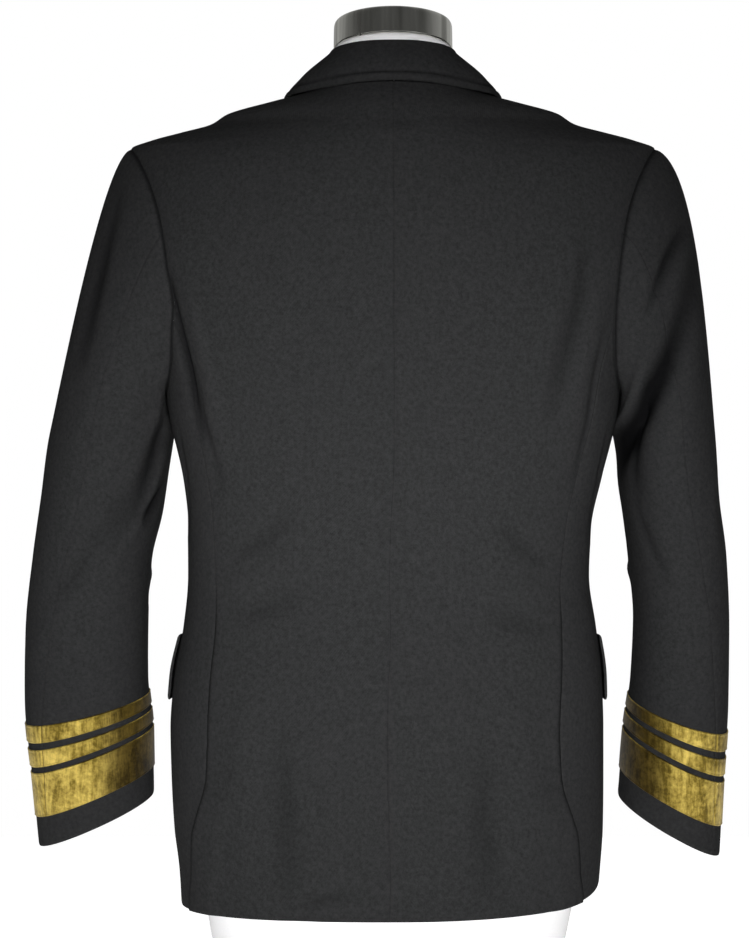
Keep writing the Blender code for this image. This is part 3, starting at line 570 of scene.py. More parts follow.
# The size of the cells, and how the cloth rolls in at edges and at seams.
STEP = 0.0038
NEAR_EDGE = (0.0, 0.0006, 0.0014, 0.0026, 0.0046)
EDGE_DIP = 0.0009
SEAM_DIP = 0.0004
EDGE_REACH = 0.0030

# Painted shade: a fold this deep is painted as dark as the look allows.
FOLD_DEPTH = 0.0075

# Creases are drawn flat: angles round the body by a radius, shares down a sleeve
# by a stretch. Past the far angle, turns run on beyond the half circle.
BODY_RADIUS = 0.17
SLEEVE_STRETCH = 8.0
FAR_ANGLE = 150.0

# The body's folds, the solids' own two first, then creases. Angles go round the
# body, 90 at the centre back and -90 at the centre front.
# Columns: angle 0, height 0, angle 1, height 1, bow, half width, rise.
CREASES = (
    (36.0, 0.600, 41.0, 0.430, 0.0, 0.0160, 0.0035),
    (144.0, 0.600, 139.0, 0.430, 0.0, 0.0160, 0.0035),
    (30.6, 0.604, 33.8, 0.446, 0.002, 0.0082, -0.0074),
    (40.5, 0.600, 43.0, 0.460, 0.003, 0.0070, 0.0022),
    (36.5, 0.515, 38.5, 0.400, 0.002, 0.0055, -0.0022),
    (70.0, 0.056, 85.0, 0.068, 0.002, 0.0070, -0.0020),
    (64.0, 0.044, 76.0, 0.040, 0.001, 0.0050, -0.0014),
    (134.0, 0.650, 131.0, 0.470, -0.004, 0.0090, -0.0026),
    (127.0, 0.590, 124.0, 0.440, -0.003, 0.0080, 0.0022),
    (147.0, 0.560, 147.0, 0.405, 0.001, 0.0060, -0.0025),
    (41.0, 0.352, 66.0, 0.392, 0.006, 0.0070, -0.0020),
    (39.0, 0.330, 60.0, 0.345, 0.004, 0.0060, 0.0019),
    (42.0, 0.300, 70.0, 0.322, 0.003, 0.0080, -0.0017),
    (139.0, 0.345, 117.0, 0.384, -0.005, 0.0070, -0.0022),
    (141.0, 0.322, 121.0, 0.340, -0.004, 0.0060, 0.0016),
    (138.0, 0.290, 112.0, 0.305, -0.003, 0.0075, -0.0016),
    (56.0, 0.262, 53.0, 0.062, 0.004, 0.0150, 0.0024),
    (67.0, 0.215, 66.0, 0.050, -0.002, 0.0110, -0.0019),
    (79.0, 0.180, 80.0, 0.046, 0.002, 0.0090, 0.0014),
    (121.0, 0.250, 125.0, 0.056, -0.004, 0.0160, 0.0024),
    (110.0, 0.200, 112.0, 0.048, 0.003, 0.0110, -0.0018),
    (99.0, 0.170, 98.0, 0.045, -0.002, 0.0090, 0.0011),
    (42.0, 0.176, 57.0, 0.170, 0.002, 0.0034, -0.0017),
    (42.0, 0.166, 54.0, 0.157, 0.002, 0.0030, 0.0014),
    (41.0, 0.150, 52.0, 0.140, 0.001, 0.0036, -0.0016),
    (137.0, 0.172, 124.0, 0.166, 0.001, 0.0036, -0.0014),
    (78.0, 0.732, 104.0, 0.733, 0.001, 0.0060, -0.0014),
    (66.0, 0.700, 74.0, 0.560, 0.003, 0.0120, 0.0014),
    (113.0, 0.695, 107.0, 0.550, -0.003, 0.0130, 0.0016),
    (18.0, 0.470, 8.0, 0.365, 0.003, 0.0070, -0.0025),
    (-2.0, 0.480, 4.0, 0.370, 0.002, 0.0070, -0.0019),
    (162.0, 0.470, 171.0, 0.360, -0.003, 0.0070, -0.0021),
    (182.0, 0.475, 176.0, 0.365, -0.002, 0.0070, -0.0016),
    (-31.0, 0.590, -55.0, 0.470, -0.005, 0.0090, -0.0034),
    (-30.0, 0.545, -48.0, 0.420, -0.004, 0.0080, 0.0025),
    (-29.0, 0.640, -44.0, 0.560, -0.003, 0.0070, -0.0022),
    (-149.0, 0.585, -126.0, 0.465, 0.005, 0.0090, -0.0031),
    (-150.0, 0.540, -133.0, 0.410, 0.004, 0.0080, 0.0028),
    (-150.0, 0.640, -137.0, 0.565, 0.003, 0.0070, -0.0020),
    (-52.0, 0.352, -72.0, 0.368, -0.003, 0.0070, -0.0020),
    (-50.0, 0.320, -70.0, 0.345, -0.003, 0.0070, 0.0016),
    (-128.0, 0.350, -108.0, 0.366, 0.003, 0.0070, -0.0019),
    (-130.0, 0.316, -110.0, 0.340, 0.003, 0.0070, 0.0017),
    (-60.0, 0.205, -58.0, 0.055, -0.003, 0.0150, 0.0024),
    (-48.0, 0.190, -46.0, 0.050, 0.002, 0.0110, -0.0019),
    (-119.0, 0.205, -121.0, 0.050, 0.003, 0.0150, 0.0022),
    (-131.0, 0.195, -133.0, 0.050, -0.002, 0.0110, -0.0020),
)

# A sleeve's folds, the solid's own two first, then creases: turns from the
# shoulder point, over the back of the arm, and shares of the way down from the armhole.
# Columns: turn 0, down 0, turn 1, down 1, bow, half width, rise.
SLEEVE_CREASES = {
    "left": (
        (112.0, 0.130, 66.0, 0.460, 0.0, 0.45, 0.0040),
        (150.0, 0.260, 95.0, 0.500, 0.0, 0.35, -0.0030),
        (28.0, 0.030, 47.0, 0.250, 0.03, 0.16, -0.0044),
        (174.0, 0.370, 144.0, 0.450, 0.03, 0.14, -0.0060),
        (140.0, 0.120, 108.0, 0.430, 0.10, 0.12, 0.0033),
        (152.0, 0.190, 126.0, 0.500, 0.08, 0.11, -0.0036),
        (74.0, 0.160, 56.0, 0.350, 0.06, 0.13, 0.0018),
        (168.0, 0.300, 120.0, 0.560, -0.06, 0.12, 0.0024),
        (100.0, 0.470, 70.0, 0.620, 0.05, 0.12, -0.0019),
        (86.0, 0.560, 52.0, 0.700, 0.04, 0.11, 0.0015),
        (262.0, 0.440, 196.0, 0.520, 0.08, 0.10, -0.0045),
        (270.0, 0.500, 190.0, 0.560, 0.06, 0.10, 0.0033),
        (256.0, 0.560, 192.0, 0.600, 0.05, 0.09, -0.0036),
        (232.0, 0.120, 262.0, 0.330, 0.08, 0.13, -0.0033),
        (214.0, 0.140, 244.0, 0.400, 0.06, 0.12, 0.0027),
        (292.0, 0.100, 300.0, 0.300, 0.04, 0.14, 0.0018),
        (300.0, 0.620, 262.0, 0.740, 0.05, 0.11, -0.0018),
    ),
    "right": (
        (28.0, 0.120, 118.0, 0.400, 0.0, 0.40, 0.0045),
        (95.0, 0.200, 150.0, 0.420, 0.0, 0.35, -0.0030),
        (20.0, 0.088, 92.0, 0.100, 0.03, 0.075, -0.0062),
        (10.0, 0.106, 70.0, 0.128, 0.04, 0.09, 0.0024),
        (10.0, 0.120, 202.0, 0.352, 0.03, 0.27, -0.0100),
        (112.0, 0.250, 184.0, 0.360, 0.05, 0.20, -0.0050),
        (60.0, 0.080, 190.0, 0.270, 0.03, 0.17, 0.0026),
        (96.0, 0.170, 146.0, 0.390, 0.08, 0.11, -0.0036),
        (20.0, 0.360, 60.0, 0.520, 0.08, 0.14, 0.0018),
        (150.0, 0.400, 112.0, 0.560, 0.06, 0.12, -0.0024),
        (96.0, 0.520, 60.0, 0.640, 0.05, 0.11, 0.0018),
        (264.0, 0.430, 194.0, 0.500, 0.08, 0.10, -0.0042),
        (258.0, 0.480, 188.0, 0.550, 0.06, 0.10, 0.0033),
        (268.0, 0.560, 200.0, 0.590, 0.05, 0.09, -0.0033),
        (236.0, 0.110, 268.0, 0.310, 0.08, 0.13, -0.0033),
        (216.0, 0.150, 240.0, 0.380, 0.06, 0.12, 0.0030),
        (304.0, 0.640, 266.0, 0.730, 0.05, 0.11, -0.0018),
    ),
}


def crease_rise(across, along, row):
    """A soft ridge or trough on a bowed line in flat coordinates."""
    start, end, bow, half_width, rise = row
    line = np.subtract(end, start)
    length = math.hypot(*line)
    way = line / length
    part = ((across - start[0]) * way[0] + (along - start[1]) * way[1]) / length
    aside = (across - start[0]) * way[1] - (along - start[1]) * way[0]
    inside = np.clip(part, 0.0, 1.0)
    aside = aside - bow * np.sin(math.pi * inside)
    width = half_width * (0.7 + 0.5 * inside)
    fade = np.where((part < 0.0) | (part > 1.0), 0.0, np.sin(math.pi * inside) ** 0.8)
    return rise * fade * np.exp(-((aside / width) ** 2))


def body_rise(angle, height):
    """How far folds and creases lift the body's cloth."""
    total = np.zeros(np.broadcast(angle, height).shape)
    turn = np.arctan2(np.sin(angle), np.cos(angle))
    far = np.where(turn < 0.0, turn + 2.0 * math.pi, turn)
    for angle_0, height_0, angle_1, height_1, bow, half_width, rise in CREASES:
        place = far if max(angle_0, angle_1) > FAR_ANGLE else turn
        start = (math.radians(angle_0) * BODY_RADIUS, height_0)
        end = (math.radians(angle_1) * BODY_RADIUS, height_1)
        row = (start, end, bow, half_width, rise)
        total = total + crease_rise(place * BODY_RADIUS, height, row)
    return total


def body_surface(angle, height, lift=0.0):
    """Points and outward normals of the cloth's outer face."""
    angle, height = np.broadcast_arrays(np.asarray(angle, float), np.asarray(height, float))
    normal = body_normal(angle, height)
    rise = body_rise(angle, height) + lift
    return plain_body(angle, height) + normal * rise[..., None], normal


def lengths_along(grid, axis):
    """Running length along the lines of a grid."""
    step = np.linalg.norm(np.diff(grid, axis=axis), axis=-1)
    run = np.cumsum(step, axis=axis)
    start = np.zeros_like(np.take(run, [0], axis=axis))
    return np.concatenate([start, run], axis=axis)


def spaced(length, first=True, last=True, step=STEP, near=NEAR_EDGE, least=2):
    """Places along a length, closer together near its ends."""
    near = np.array(near)
    low = near if first else near[:1]
    high = length - near[::-1] if last else np.array([length])
    count = max(least, math.ceil((high[0] - low[-1]) / step))
    return np.concatenate([low, np.linspace(low[-1], high[0], count + 1)[1:-1], high])


def shares(length, step):
    """Spaced places as shares of the length."""
    return spaced(length, step=step) / length


def even_columns(start, end, height, step=STEP):
    """Angles across each row, evenly spaced on the surface, closer near both ends."""
    share = np.linspace(0.0, 1.0, 121)[None, :]
    angle = start[:, None] + (end - start)[:, None] * share
    run = lengths_along(plain_body(angle, height + 0.0 * angle), 1)
    longest = spaced(run[:, -1].max(), step=step)
    half = len(longest) // 2
    rows = []
    for line, total, turns in zip(run, run[:, -1], angle):
        place = longest * total / longest[-1]
        place[:5] = longest[:5]
        place[-5:] = total - longest[-1] + longest[-5:]
        place[5:-5] = np.interp(
            longest[5:-5], [longest[4], longest[-5]], [place[4], place[-5]]
        )
        rows.append(np.interp(place, line, turns))
    return np.array(rows)


def row_line(top, step=STEP):
    """Nominal heights up a panel, finer over the shoulder and round the armhole."""
    rows = [0.0, 0.0015, 0.0035, 0.0065, 0.0105]
    place = rows[-1]
    while place < ARMHOLE_LOW:
        place += step
        rows.append(min(place, ARMHOLE_LOW))
    if top <= ARMHOLE_LOW:
        return np.array(rows)
    first = math.acos((ARMHOLE_LOW - ARMHOLE_MIDDLE) / ARMHOLE_HALF_HEIGHT)
    count = math.ceil(first * ARMHOLE_HALF_HEIGHT / step)
    turns = np.linspace(first, 0.0, count + 1)[1:]
    rows += list(ARMHOLE_MIDDLE + ARMHOLE_HALF_HEIGHT * np.cos(turns))
    rows += list(np.linspace(rows[-1], top, 44)[1:])
    return np.array(rows)


def true_heights(nominal, angle):
    """Nominal heights with the lowest stretch drawn to the hem."""
    join = ROWS[1]
    share = np.clip(nominal / join, 0.0, 1.0)[:, None]
    hem = hem_height(angle)
    low = hem + (join - hem) * share
    return np.where(nominal[:, None] < join, low, nominal[:, None] + 0.0 * angle)


# Puckers beside a seam: their lengths, height and reach.
PUCKERS = (0.010, 0.016, 0.027)
PUCKER_RISE = 0.00011
PUCKER_REACH = 0.009


def ripple(run, along, seed):
    """Small puckers that die away from a seam."""
    rng = np.random.default_rng(seed)
    wave = np.zeros(np.broadcast(run, along).shape)
    for size in PUCKERS:
        wave = wave + np.sin(along / size * 2.0 * math.pi + rng.uniform(0.0, 6.0) + run * 90.0)
    slow = 0.5 + 0.5 * np.sin(along * 31.0 + rng.uniform(0.0, 6.0))
    return PUCKER_RISE * wave * slow * np.exp(-run / PUCKER_REACH)


def edge_dips(grid, sides, depth=EDGE_DIP, reach=EDGE_REACH):
    """How far the cloth rolls in at its edges; sides names them."""
    across = lengths_along(grid, 1)
    up = lengths_along(grid, 0)
    runs = {
        "first": across,
        "last": across[:, -1:] - across,
        "low": up,
        "high": up[-1:] - up,
    }
    dip = np.zeros(grid.shape[:2])
    for side in sides:
        share = np.clip(1.0 - runs[side] / reach, 0.0, 1.0)
        dip = np.maximum(dip, depth * share * share)
    return dip


def mesh_from(name, bm):
    """A mesh from a working one, which is freed."""
    mesh = bpy.data.meshes.new(name)
    bm.to_mesh(mesh)
    bm.free()
    return mesh


def points_of(mesh):
    """A mesh's points as rows."""
    points = np.zeros(len(mesh.vertices) * 3)
    mesh.vertices.foreach_get("co", points)
    return points.reshape(-1, 3)


def thin_wall(name, outer, inner, flat):
    """A thin wall from two grids of points, with its flat coordinates as its UV map."""
    rows, columns = outer.shape[:2]
    bm = bmesh.new()
    bmesh.ops.create_grid(bm, x_segments=columns - 1, y_segments=rows - 1, size=0.5)
    result = bmesh.ops.extrude_face_region(bm, geom=bm.faces[:], use_keep_orig=True)
    copies = [item for item in result["geom"] if isinstance(item, bmesh.types.BMVert)]
    bmesh.ops.translate(bm, vec=(0.0, 0.0, 1.0), verts=copies)
    bmesh.ops.recalc_face_normals(bm, faces=bm.faces[:])
    mesh = mesh_from(name, bm)
    place = points_of(mesh)
    column = np.rint((place[:, 0] + 0.5) * (columns - 1)).astype(int)
    row = np.rint((place[:, 1] + 0.5) * (rows - 1)).astype(int)
    is_outer = place[:, 2] > 0.5
    points = np.where(is_outer[:, None], outer[row, column], inner[row, column])
    points = points + np.array(PLACE)
    mesh.vertices.foreach_set("co", points.ravel())
    layer = mesh.uv_layers.new(name="flat")
    corners = np.zeros(len(mesh.loops), dtype=int)
    mesh.loops.foreach_get("vertex_index", corners)
    layer.data.foreach_set("uv", flat[row, column][corners].ravel())
    return place_mesh(name, mesh)


def signed_volume(mesh):
    """The volume inside a mesh, below zero where its faces look inward."""
    points = points_of(mesh)
    mesh.calc_loop_triangles()
    corner = np.zeros(len(mesh.loop_triangles) * 3, dtype=int)
    mesh.loop_triangles.foreach_get("vertices", corner)
    a, b, c = points[corner].reshape(-1, 3, 3).transpose(1, 0, 2)
    return float((a * np.cross(b, c)).sum()) / 6.0


def place_mesh(name, mesh):
    """Show a mesh smooth, faces outward, on the part's one body."""
    mesh.update()
    if signed_volume(mesh) < 0.0:
        mesh.flip_normals()
    mesh.polygons.foreach_set("use_smooth", [True] * len(mesh.polygons))
    mesh.update()
    item = bpy.data.objects.new(name, mesh)
    bpy.context.scene.collection.objects.link(item)
    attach(item, "root")
    return item


def flat_map(grid):
    """Flat coordinates of a grid: lengths across from its middle, and up."""
    across = lengths_along(grid, 1)
    across = across - across[:, -1:] / 2.0
    up = lengths_along(grid, 0)
    return np.stack([across, up], axis=-1)


def stand_for(item, node, slot):
    """Show a piece in place of its solid, with the look of its slot."""
    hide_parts(node)
    item.data.materials.append(LOOKS[slot])


def cloth(node, grid, normal, wall, sides, slot, dip=EDGE_DIP, painted_shade=None):
    """One sewn piece: a shown cloth in place of its solid, with its flat cut as its UV map."""
    sunk = edge_dips(grid, sides, dip)
    outer = grid - normal * sunk[..., None]
    inner = grid - normal * (wall - 0.3 * sunk)[..., None]
    item = thin_wall(node + "_cloth", outer, inner, flat_map(grid))
    # Painted shade goes on as a point attribute, which the looks multiply their colour down by.
    if painted_shade is not None:
        values = item.data.attributes.new("painted_shade", "FLOAT", "POINT")
        values.data.foreach_set("value", np.tile(np.clip(painted_shade, 0.0, 1.0).ravel(), 2))
    stand_for(item, node, slot)


def body_panel(node, angle, height, lift, sides, dip=SEAM_DIP, shade=0.0):
    """A panel of the body in wool, with painted shade in its folds and where shade says."""
    outer, normal = body_surface(angle, height, lift)
    painted_shade = np.maximum(-body_rise(angle, height) / FOLD_DEPTH, shade)
    cloth(node, outer, normal, WALL, sides, "black_wool", dip, painted_shade)


def side_ripples(run, height, first_seed, last_seed):
    """Puckers beside both side seams of a panel."""
    return ripple(run, height, first_seed) + ripple(run[:, -1:] - run, height, last_seed)


def back_panel(side, node):
    """Half of the back, its lower side edge drawn under the vent's lap."""
    sign = SIGN[side]
    column = 0 if sign > 0 else 1
    nominal = row_line(ROWS[-1])
    lap = VENT_LAP / VENT_RADIUS * np.clip((VENT_FULL_TOP - nominal) / VENT_LAP_FADE, 0.0, 1.0)
    up = VENT_LIFT * np.clip((VENT_TOP - nominal) / VENT_LIFT_FADE, 0.0, 1.0)
    end = seam_angle(column, nominal) - lap
    angle = even_columns(np.full(len(nominal), math.pi / 2.0), end, nominal[:, None])
    share = (angle - math.pi / 2.0) / (end - math.pi / 2.0)[:, None]
    if sign < 0:
        angle = math.pi - angle
    height = true_heights(nominal, angle)
    crown = np.clip((nominal[:, None] - ROWS[-2]) / (ROWS[-1] - ROWS[-2]), 0.0, 1.0)
    height = height + NECK_CROWN * np.sin(angle) ** 2 * crown
    lift = up[:, None] * smooth_step((share - VENT_LIFT_FROM) / VENT_LIFT_SPREAD)
    run = lengths_along(plain_body(angle, height), 1)
    lift = lift + side_ripples(run, height, 3 + column, 5 + column)
    # Painted shade: a dark line beside the lower side seam.
    line = np.exp(-(((run[:, -1:] - run) / SEAM_SHADE_WIDTH) ** 2))
    shade = SEAM_SHADE * smooth_step((SEAM_SHADE_TOP - height) / SEAM_SHADE_FADE) * line
    body_panel(node, angle, height, lift, ("first", "last", "low"), shade=shade)


def side_panel(side, node):
    """The side body, whose top follows the foot of the armhole."""
    sign = SIGN[side]
    column = 0 if sign > 0 else 1
    nominal = row_line(ARMHOLE_LOW)
    back = seam_angle(column, nominal)
    front = -seam_angle(2, nominal)
    angle = even_columns(front, back, nominal[:, None])
    height = nominal[:, None] + 0.0 * angle
    reach = np.sqrt(np.clip(1.0 - (angle[-1] / ARMHOLE_HALF_ANGLE) ** 2, 0.0, 1.0))
    top = ARMHOLE_MIDDLE - ARMHOLE_HALF_HEIGHT * reach
    span = (top[None, :] - SQUEEZE_START) / (ARMHOLE_LOW - SQUEEZE_START)
    squeezed = SQUEEZE_START + (height - SQUEEZE_START) * span
    height = np.where(height > SQUEEZE_START, squeezed, height)
    if sign < 0:
        angle = math.pi - angle
    low = true_heights(nominal, angle)
    height = np.where(nominal[:, None] < ROWS[1], low, height)
    run = lengths_along(plain_body(angle, height), 1)
    lift = side_ripples(run, height, 11 + column, 13 + column)
    body_panel(node, angle, height, lift, ALL_SIDES)


def front_surface(sign, x, height, lift=0.0):
    """A place on a front at a distance across and a height, moved out by lift."""
    angle = angle_of_x(x, height)
    return body_surface(angle, height, front_lift(sign, x, height) + lift)


def front_panel(side, node):
    """A front, from its side seam to its free edge; the left one laps over."""
    sign = SIGN[side]
    nominal = row_line(ROWS[-1])
    inner = sign * FRONT_EDGE_CURVE(nominal)
    start = mirrored(-seam_angle(2, nominal), sign)
    start = np.where(start > math.pi / 2.0, start - 2.0 * math.pi, start)
    end = angle_of_x(inner, nominal)
    angle = even_columns(start, end, nominal[:, None])
    height = true_heights(nominal, angle)
    plain = plain_body(angle, height)
    run = lengths_along(plain, 1)
    lift = front_lift(sign, plain[..., 0], height)
    lift = lift + ripple(run, height, 21 + sign)
    body_panel(node, angle, height, lift, ("first", "last", "low"), EDGE_DIP)


def lapel(side, node):
    """A lapel: wrapped round the front's edge, then laid back on the front."""
    sign = SIGN[side]
    knots = np.arange(len(LAPEL))
    curves = [smooth_curve(knots, column) for column in zip(*LAPEL)]
    along = np.linspace(0.0, knots[-1], 96)
    roll_at, edge_height, edge_x = (curve(along)[:, None] for curve in curves)
    roll_x = FRONT_EDGE_CURVE(roll_at)
    wide = np.abs(edge_x - roll_x)
    wrap = LAPEL_WRAP[None, :]
    radius = (LAPEL_LAY + LAPEL_WALL + WALL + LAPEL_TURN) / 2.0
    centre = (LAPEL_LAY + LAPEL_WALL - WALL - LAPEL_TURN) / 2.0
    share = spaced(float(wide.max()), first=False, step=0.0030)[1:] / float(wide.max())
    share = share[None, :]
    behind = np.exp(-((share * wide - LAPEL_ROLL_AT) / LAPEL_ROLL_WIDTH) ** 2)
    roll = LAPEL_ROLL * behind * np.clip(wide / LAPEL_ROLL_FULL, 0.0, 1.0)
    outer_share = smooth_step((share - LAPEL_CURL_FROM) / 0.28)
    curl = LAPEL_CURL * outer_share * np.clip(wide / LAPEL_CURL_FULL, 0.0, 1.0)
    if sign < 0:
        shown = smooth_step((roll_at - LAPEL_SHOWN) / LAPEL_SHOWN_FADE)
        roll = roll * shown
        curl = curl * shown
    x_flat = roll_x * (1.0 - share) + edge_x * share
    x_wrap = roll_x - radius * np.cos(wrap)
    height_flat = roll_at * (1.0 - share) + edge_height * share
    height_wrap = roll_at + 0.0 * wrap
    x = np.concatenate([x_wrap, x_flat], axis=1)
    height = np.concatenate([height_wrap, height_flat], axis=1)
    flat_lift = LAPEL_LAY + LAPEL_WALL + roll + curl
    lift = np.concatenate([centre + radius * np.sin(wrap) + 0.0 * roll_at, flat_lift], axis=1)
    outer, _ = front_surface(sign, sign * x, height, lift)
    normal = sheet_normals(outer)
    if normal[40, -5, 1] > 0.0:
        normal = -normal
    sides = ("last", "low", "high")
    cloth(node, outer, normal, LAPEL_WALL, sides, "black_wool")


def sheet_normals(grid):
    """Normals of a grid of points."""
    across = np.gradient(grid, axis=1)
    along = np.gradient(grid, axis=0)
    return unit(np.cross(along, across))


def through(points, places, axis):
    """A smooth line through guide points, read at new places along an axis."""
    points = np.moveaxis(points, axis, 0)
    step = np.linalg.norm(np.diff(points, axis=0), axis=-1)
    step = step.reshape(len(step), -1).mean(axis=1)
    knots = np.concatenate([[0.0], np.cumsum(np.sqrt(step))])
    slope = np.zeros_like(points)
    slope[0] = (points[1] - points[0]) / (knots[1] - knots[0])
    slope[-1] = (points[-1] - points[-2]) / (knots[-1] - knots[-2])
    for i in range(1, len(points) - 1):
        slope[i] = (points[i + 1] - points[i - 1]) / (knots[i + 1] - knots[i - 1])
    found = []
    for place in np.asarray(places) * knots[-1]:
        i = int(np.clip(np.searchsorted(knots, place, side="right") - 1, 0, len(points) - 2))
        size = knots[i + 1] - knots[i]
        t = (place - knots[i]) / size
        found.append(cubic(points[i], points[i + 1], slope[i] * size, slope[i + 1] * size, t))
    return np.moveaxis(np.array(found), 0, axis)


def collar(node):
    """The collar: a stand, a fold and a fall, drawn through its guide lines."""
    guide = collar_rows()
    seam, fold, edge = guide[:, 0], guide[:, 1], guide[:, 2]
    out = edge - fold
    out[:, 2] = 0.0
    out = unit(out)
    up = np.array([0.0, 0.0, 1.0])
    tall = np.clip((fold[:, 2:] - seam[:, 2:]) / COLLAR_TALL, COLLAR_LEAST, 1.0)
    radius = COLLAR_BEND * tall ** 0.5
    inside = fold - out * radius - up * COLLAR_INSIDE * tall
    stand = (seam + inside) * 0.5
    outside = fold + out * radius - up * COLLAR_OUTSIDE
    fall = (outside + edge) * 0.5 + out * COLLAR_BELLY
    middle = np.stack([seam, stand, inside, fold, outside, fall, edge], axis=1)
    fine = through(middle, np.linspace(0.0, 1.0, COLLAR_ROWS), 0)
    fine = through(fine, np.linspace(0.0, 1.0, COLLAR_COLUMNS), 1)
    normal = sheet_normals(fine)
    centre = len(fine) // 2
    if normal[centre, -4, 1] < 0.0:
        normal = -normal
    back = lengths_along(fine, 1)
    from_edge = back[:, -1:] - back
    line = np.exp(-(((from_edge - COLLAR_LINE) / COLLAR_LINE_WIDTH) ** 2))
    groove = COLLAR_GROOVE * line * smooth_step(from_edge / 0.003)
    droop = COLLAR_DROOP * np.clip(1.0 - from_edge / COLLAR_DROOP_REACH, 0.0, 1.0) ** 2
    grid = fine + normal * (WALL / 2.0 - groove - droop)[..., None]
    ends = ("last", "first")
    # Painted shade in the groove of the sewn line.
    painted_shade = COLLAR_LINE_SHADE * line
    cloth(node, grid, normal, WALL, ends, "black_wool", painted_shade=painted_shade)


# The solid's own columns round a sleeve.
SLEEVE_TURNS = sleeve_turns()
COUNT = len(SLEEVE_TURNS)
TURN_CURVE = smooth_curve(
    np.arange(-3, COUNT + 4),
    np.concatenate(
        [SLEEVE_TURNS[-3:] - 2.0 * math.pi, SLEEVE_TURNS, SLEEVE_TURNS[:4] + 2.0 * math.pi]
    ),
)


def turn_at(place):
    """The turn round the armhole at a place counted in the solid's own columns."""
    whole = np.floor(place / COUNT)
    return TURN_CURVE(place - whole * COUNT) + whole * 2.0 * math.pi


def sleeve_points(side, place, heads, heights):
    """Smooth points of a sleeve, as if on the left, before folds."""
    sign = SIGN[side]
    turns = turn_at(place)
    even = 2.0 * math.pi * place / COUNT
    arm_angle = ARMHOLE_HALF_ANGLE * np.sin(turns)
    arm_height = ARMHOLE_MIDDLE + ARMHOLE_HALF_HEIGHT * np.cos(turns)
    armhole, _ = body_surface(mirrored(arm_angle, sign), arm_height)
    armhole[:, 0] *= sign
    top = (1.0 + np.cos(turns)) / 2.0
    ones = np.ones(len(turns))
    leave = np.stack([ones, 0.25 * np.sin(turns), -0.28 - 0.25 * (1.0 - top)], axis=-1)
    leave = unit(leave) * (HEAD_PULL + HEAD_FULLNESS[side] * top)[:, None]
    table = SLEEVES[side]
    first = table[0][0]
    ring = sleeve_ring(side, 0.5 * turns + 0.5 * even, first)
    below = sleeve_ring(side, 0.5 * turns + 0.5 * even, first - RING_STEP)
    arrive = unit(below - ring) * (ARM_PULL + ARM_PULL_TOP * top)[:, None]
    rows = [cubic(armhole, ring, leave, arrive, t) for t in heads]
    cuff = table[-1][0]
    for height in heights:
        share = (first - height) / (first - cuff)
        blend = 0.5 + 0.5 * smooth_step(share * 2.0)
        turn = turns * (1.0 - blend) + even * blend + SLEEVE_TWIST * smooth_step(share)
        rows.append(sleeve_ring(side, turn, height))
    return np.array(rows)


def sleeve_down(side):
    """Share of the way down a sleeve, over head rows then heights."""
    heads = np.linspace(0.0, 1.0, 21)[:-1]
    table = SLEEVES[side]
    heights = np.linspace(table[0][0], table[-1][0], 61)
    grid = sleeve_points(side, np.arange(0.0, COUNT, 0.5), heads, heights)
    step = np.linalg.norm(np.diff(grid, axis=0), axis=-1).mean(axis=1)
    run = np.concatenate([[0.0], np.cumsum(step)])
    places = np.concatenate([heads - 1.0, table[0][0] - heights])
    return places, run / run[-1]


SLEEVE_DOWN = {side: sleeve_down(side) for side in SLEEVES}


def sleeve_surface(side, place, heads, heights):
    """Outer points and normals of a stretch of sleeve, with its folds and creases, and painted shade
    for its troughs.
    """
    padded = np.concatenate([[2.0 * place[0] - place[1]], place, [2.0 * place[-1] - place[-2]]])
    grid = sleeve_points(side, padded, heads, heights)
    normal = sheet_normals(grid)
    middle = grid.mean(axis=1, keepdims=True)
    if ((grid - middle) * normal).sum() < 0.0:
        normal = -normal
    first = SLEEVES[side][0][0]
    rows = np.concatenate([np.asarray(heads) - 1.0, first - np.asarray(heights)])
    down = np.interp(rows, *SLEEVE_DOWN[side])[:, None] * SLEEVE_STRETCH
    turns = turn_at(padded)[None, :] % (2.0 * math.pi)
    lift = np.zeros(grid.shape[:2])
    for turn_0, down_0, turn_1, down_1, bow, half_width, rise in SLEEVE_CREASES[side]:
        start = (math.radians(turn_0), down_0 * SLEEVE_STRETCH)
        end = (math.radians(turn_1), down_1 * SLEEVE_STRETCH)
        lift += crease_rise(turns, down, (start, end, bow, half_width, rise))
    grid = grid + normal * lift[..., None]
    sign = SIGN[side]
    grid[..., 0] *= sign
    normal[..., 0] *= sign
    return grid[:, 1:-1], normal[:, 1:-1], -lift[:, 1:-1] / FOLD_DEPTH


def seam_places(first, last, step=0.19):
    """Places round a sleeve from seam to seam, closer near both."""
    near = np.array((0.0, 0.030, 0.075, 0.14, 0.24))
    count = math.ceil((last - first - 2.0 * near[-1]) / step)
    inner = np.linspace(first + near[-1], last - near[-1], count + 1)[1:-1]
    return np.concatenate([first + near, inner, last - near[::-1]])


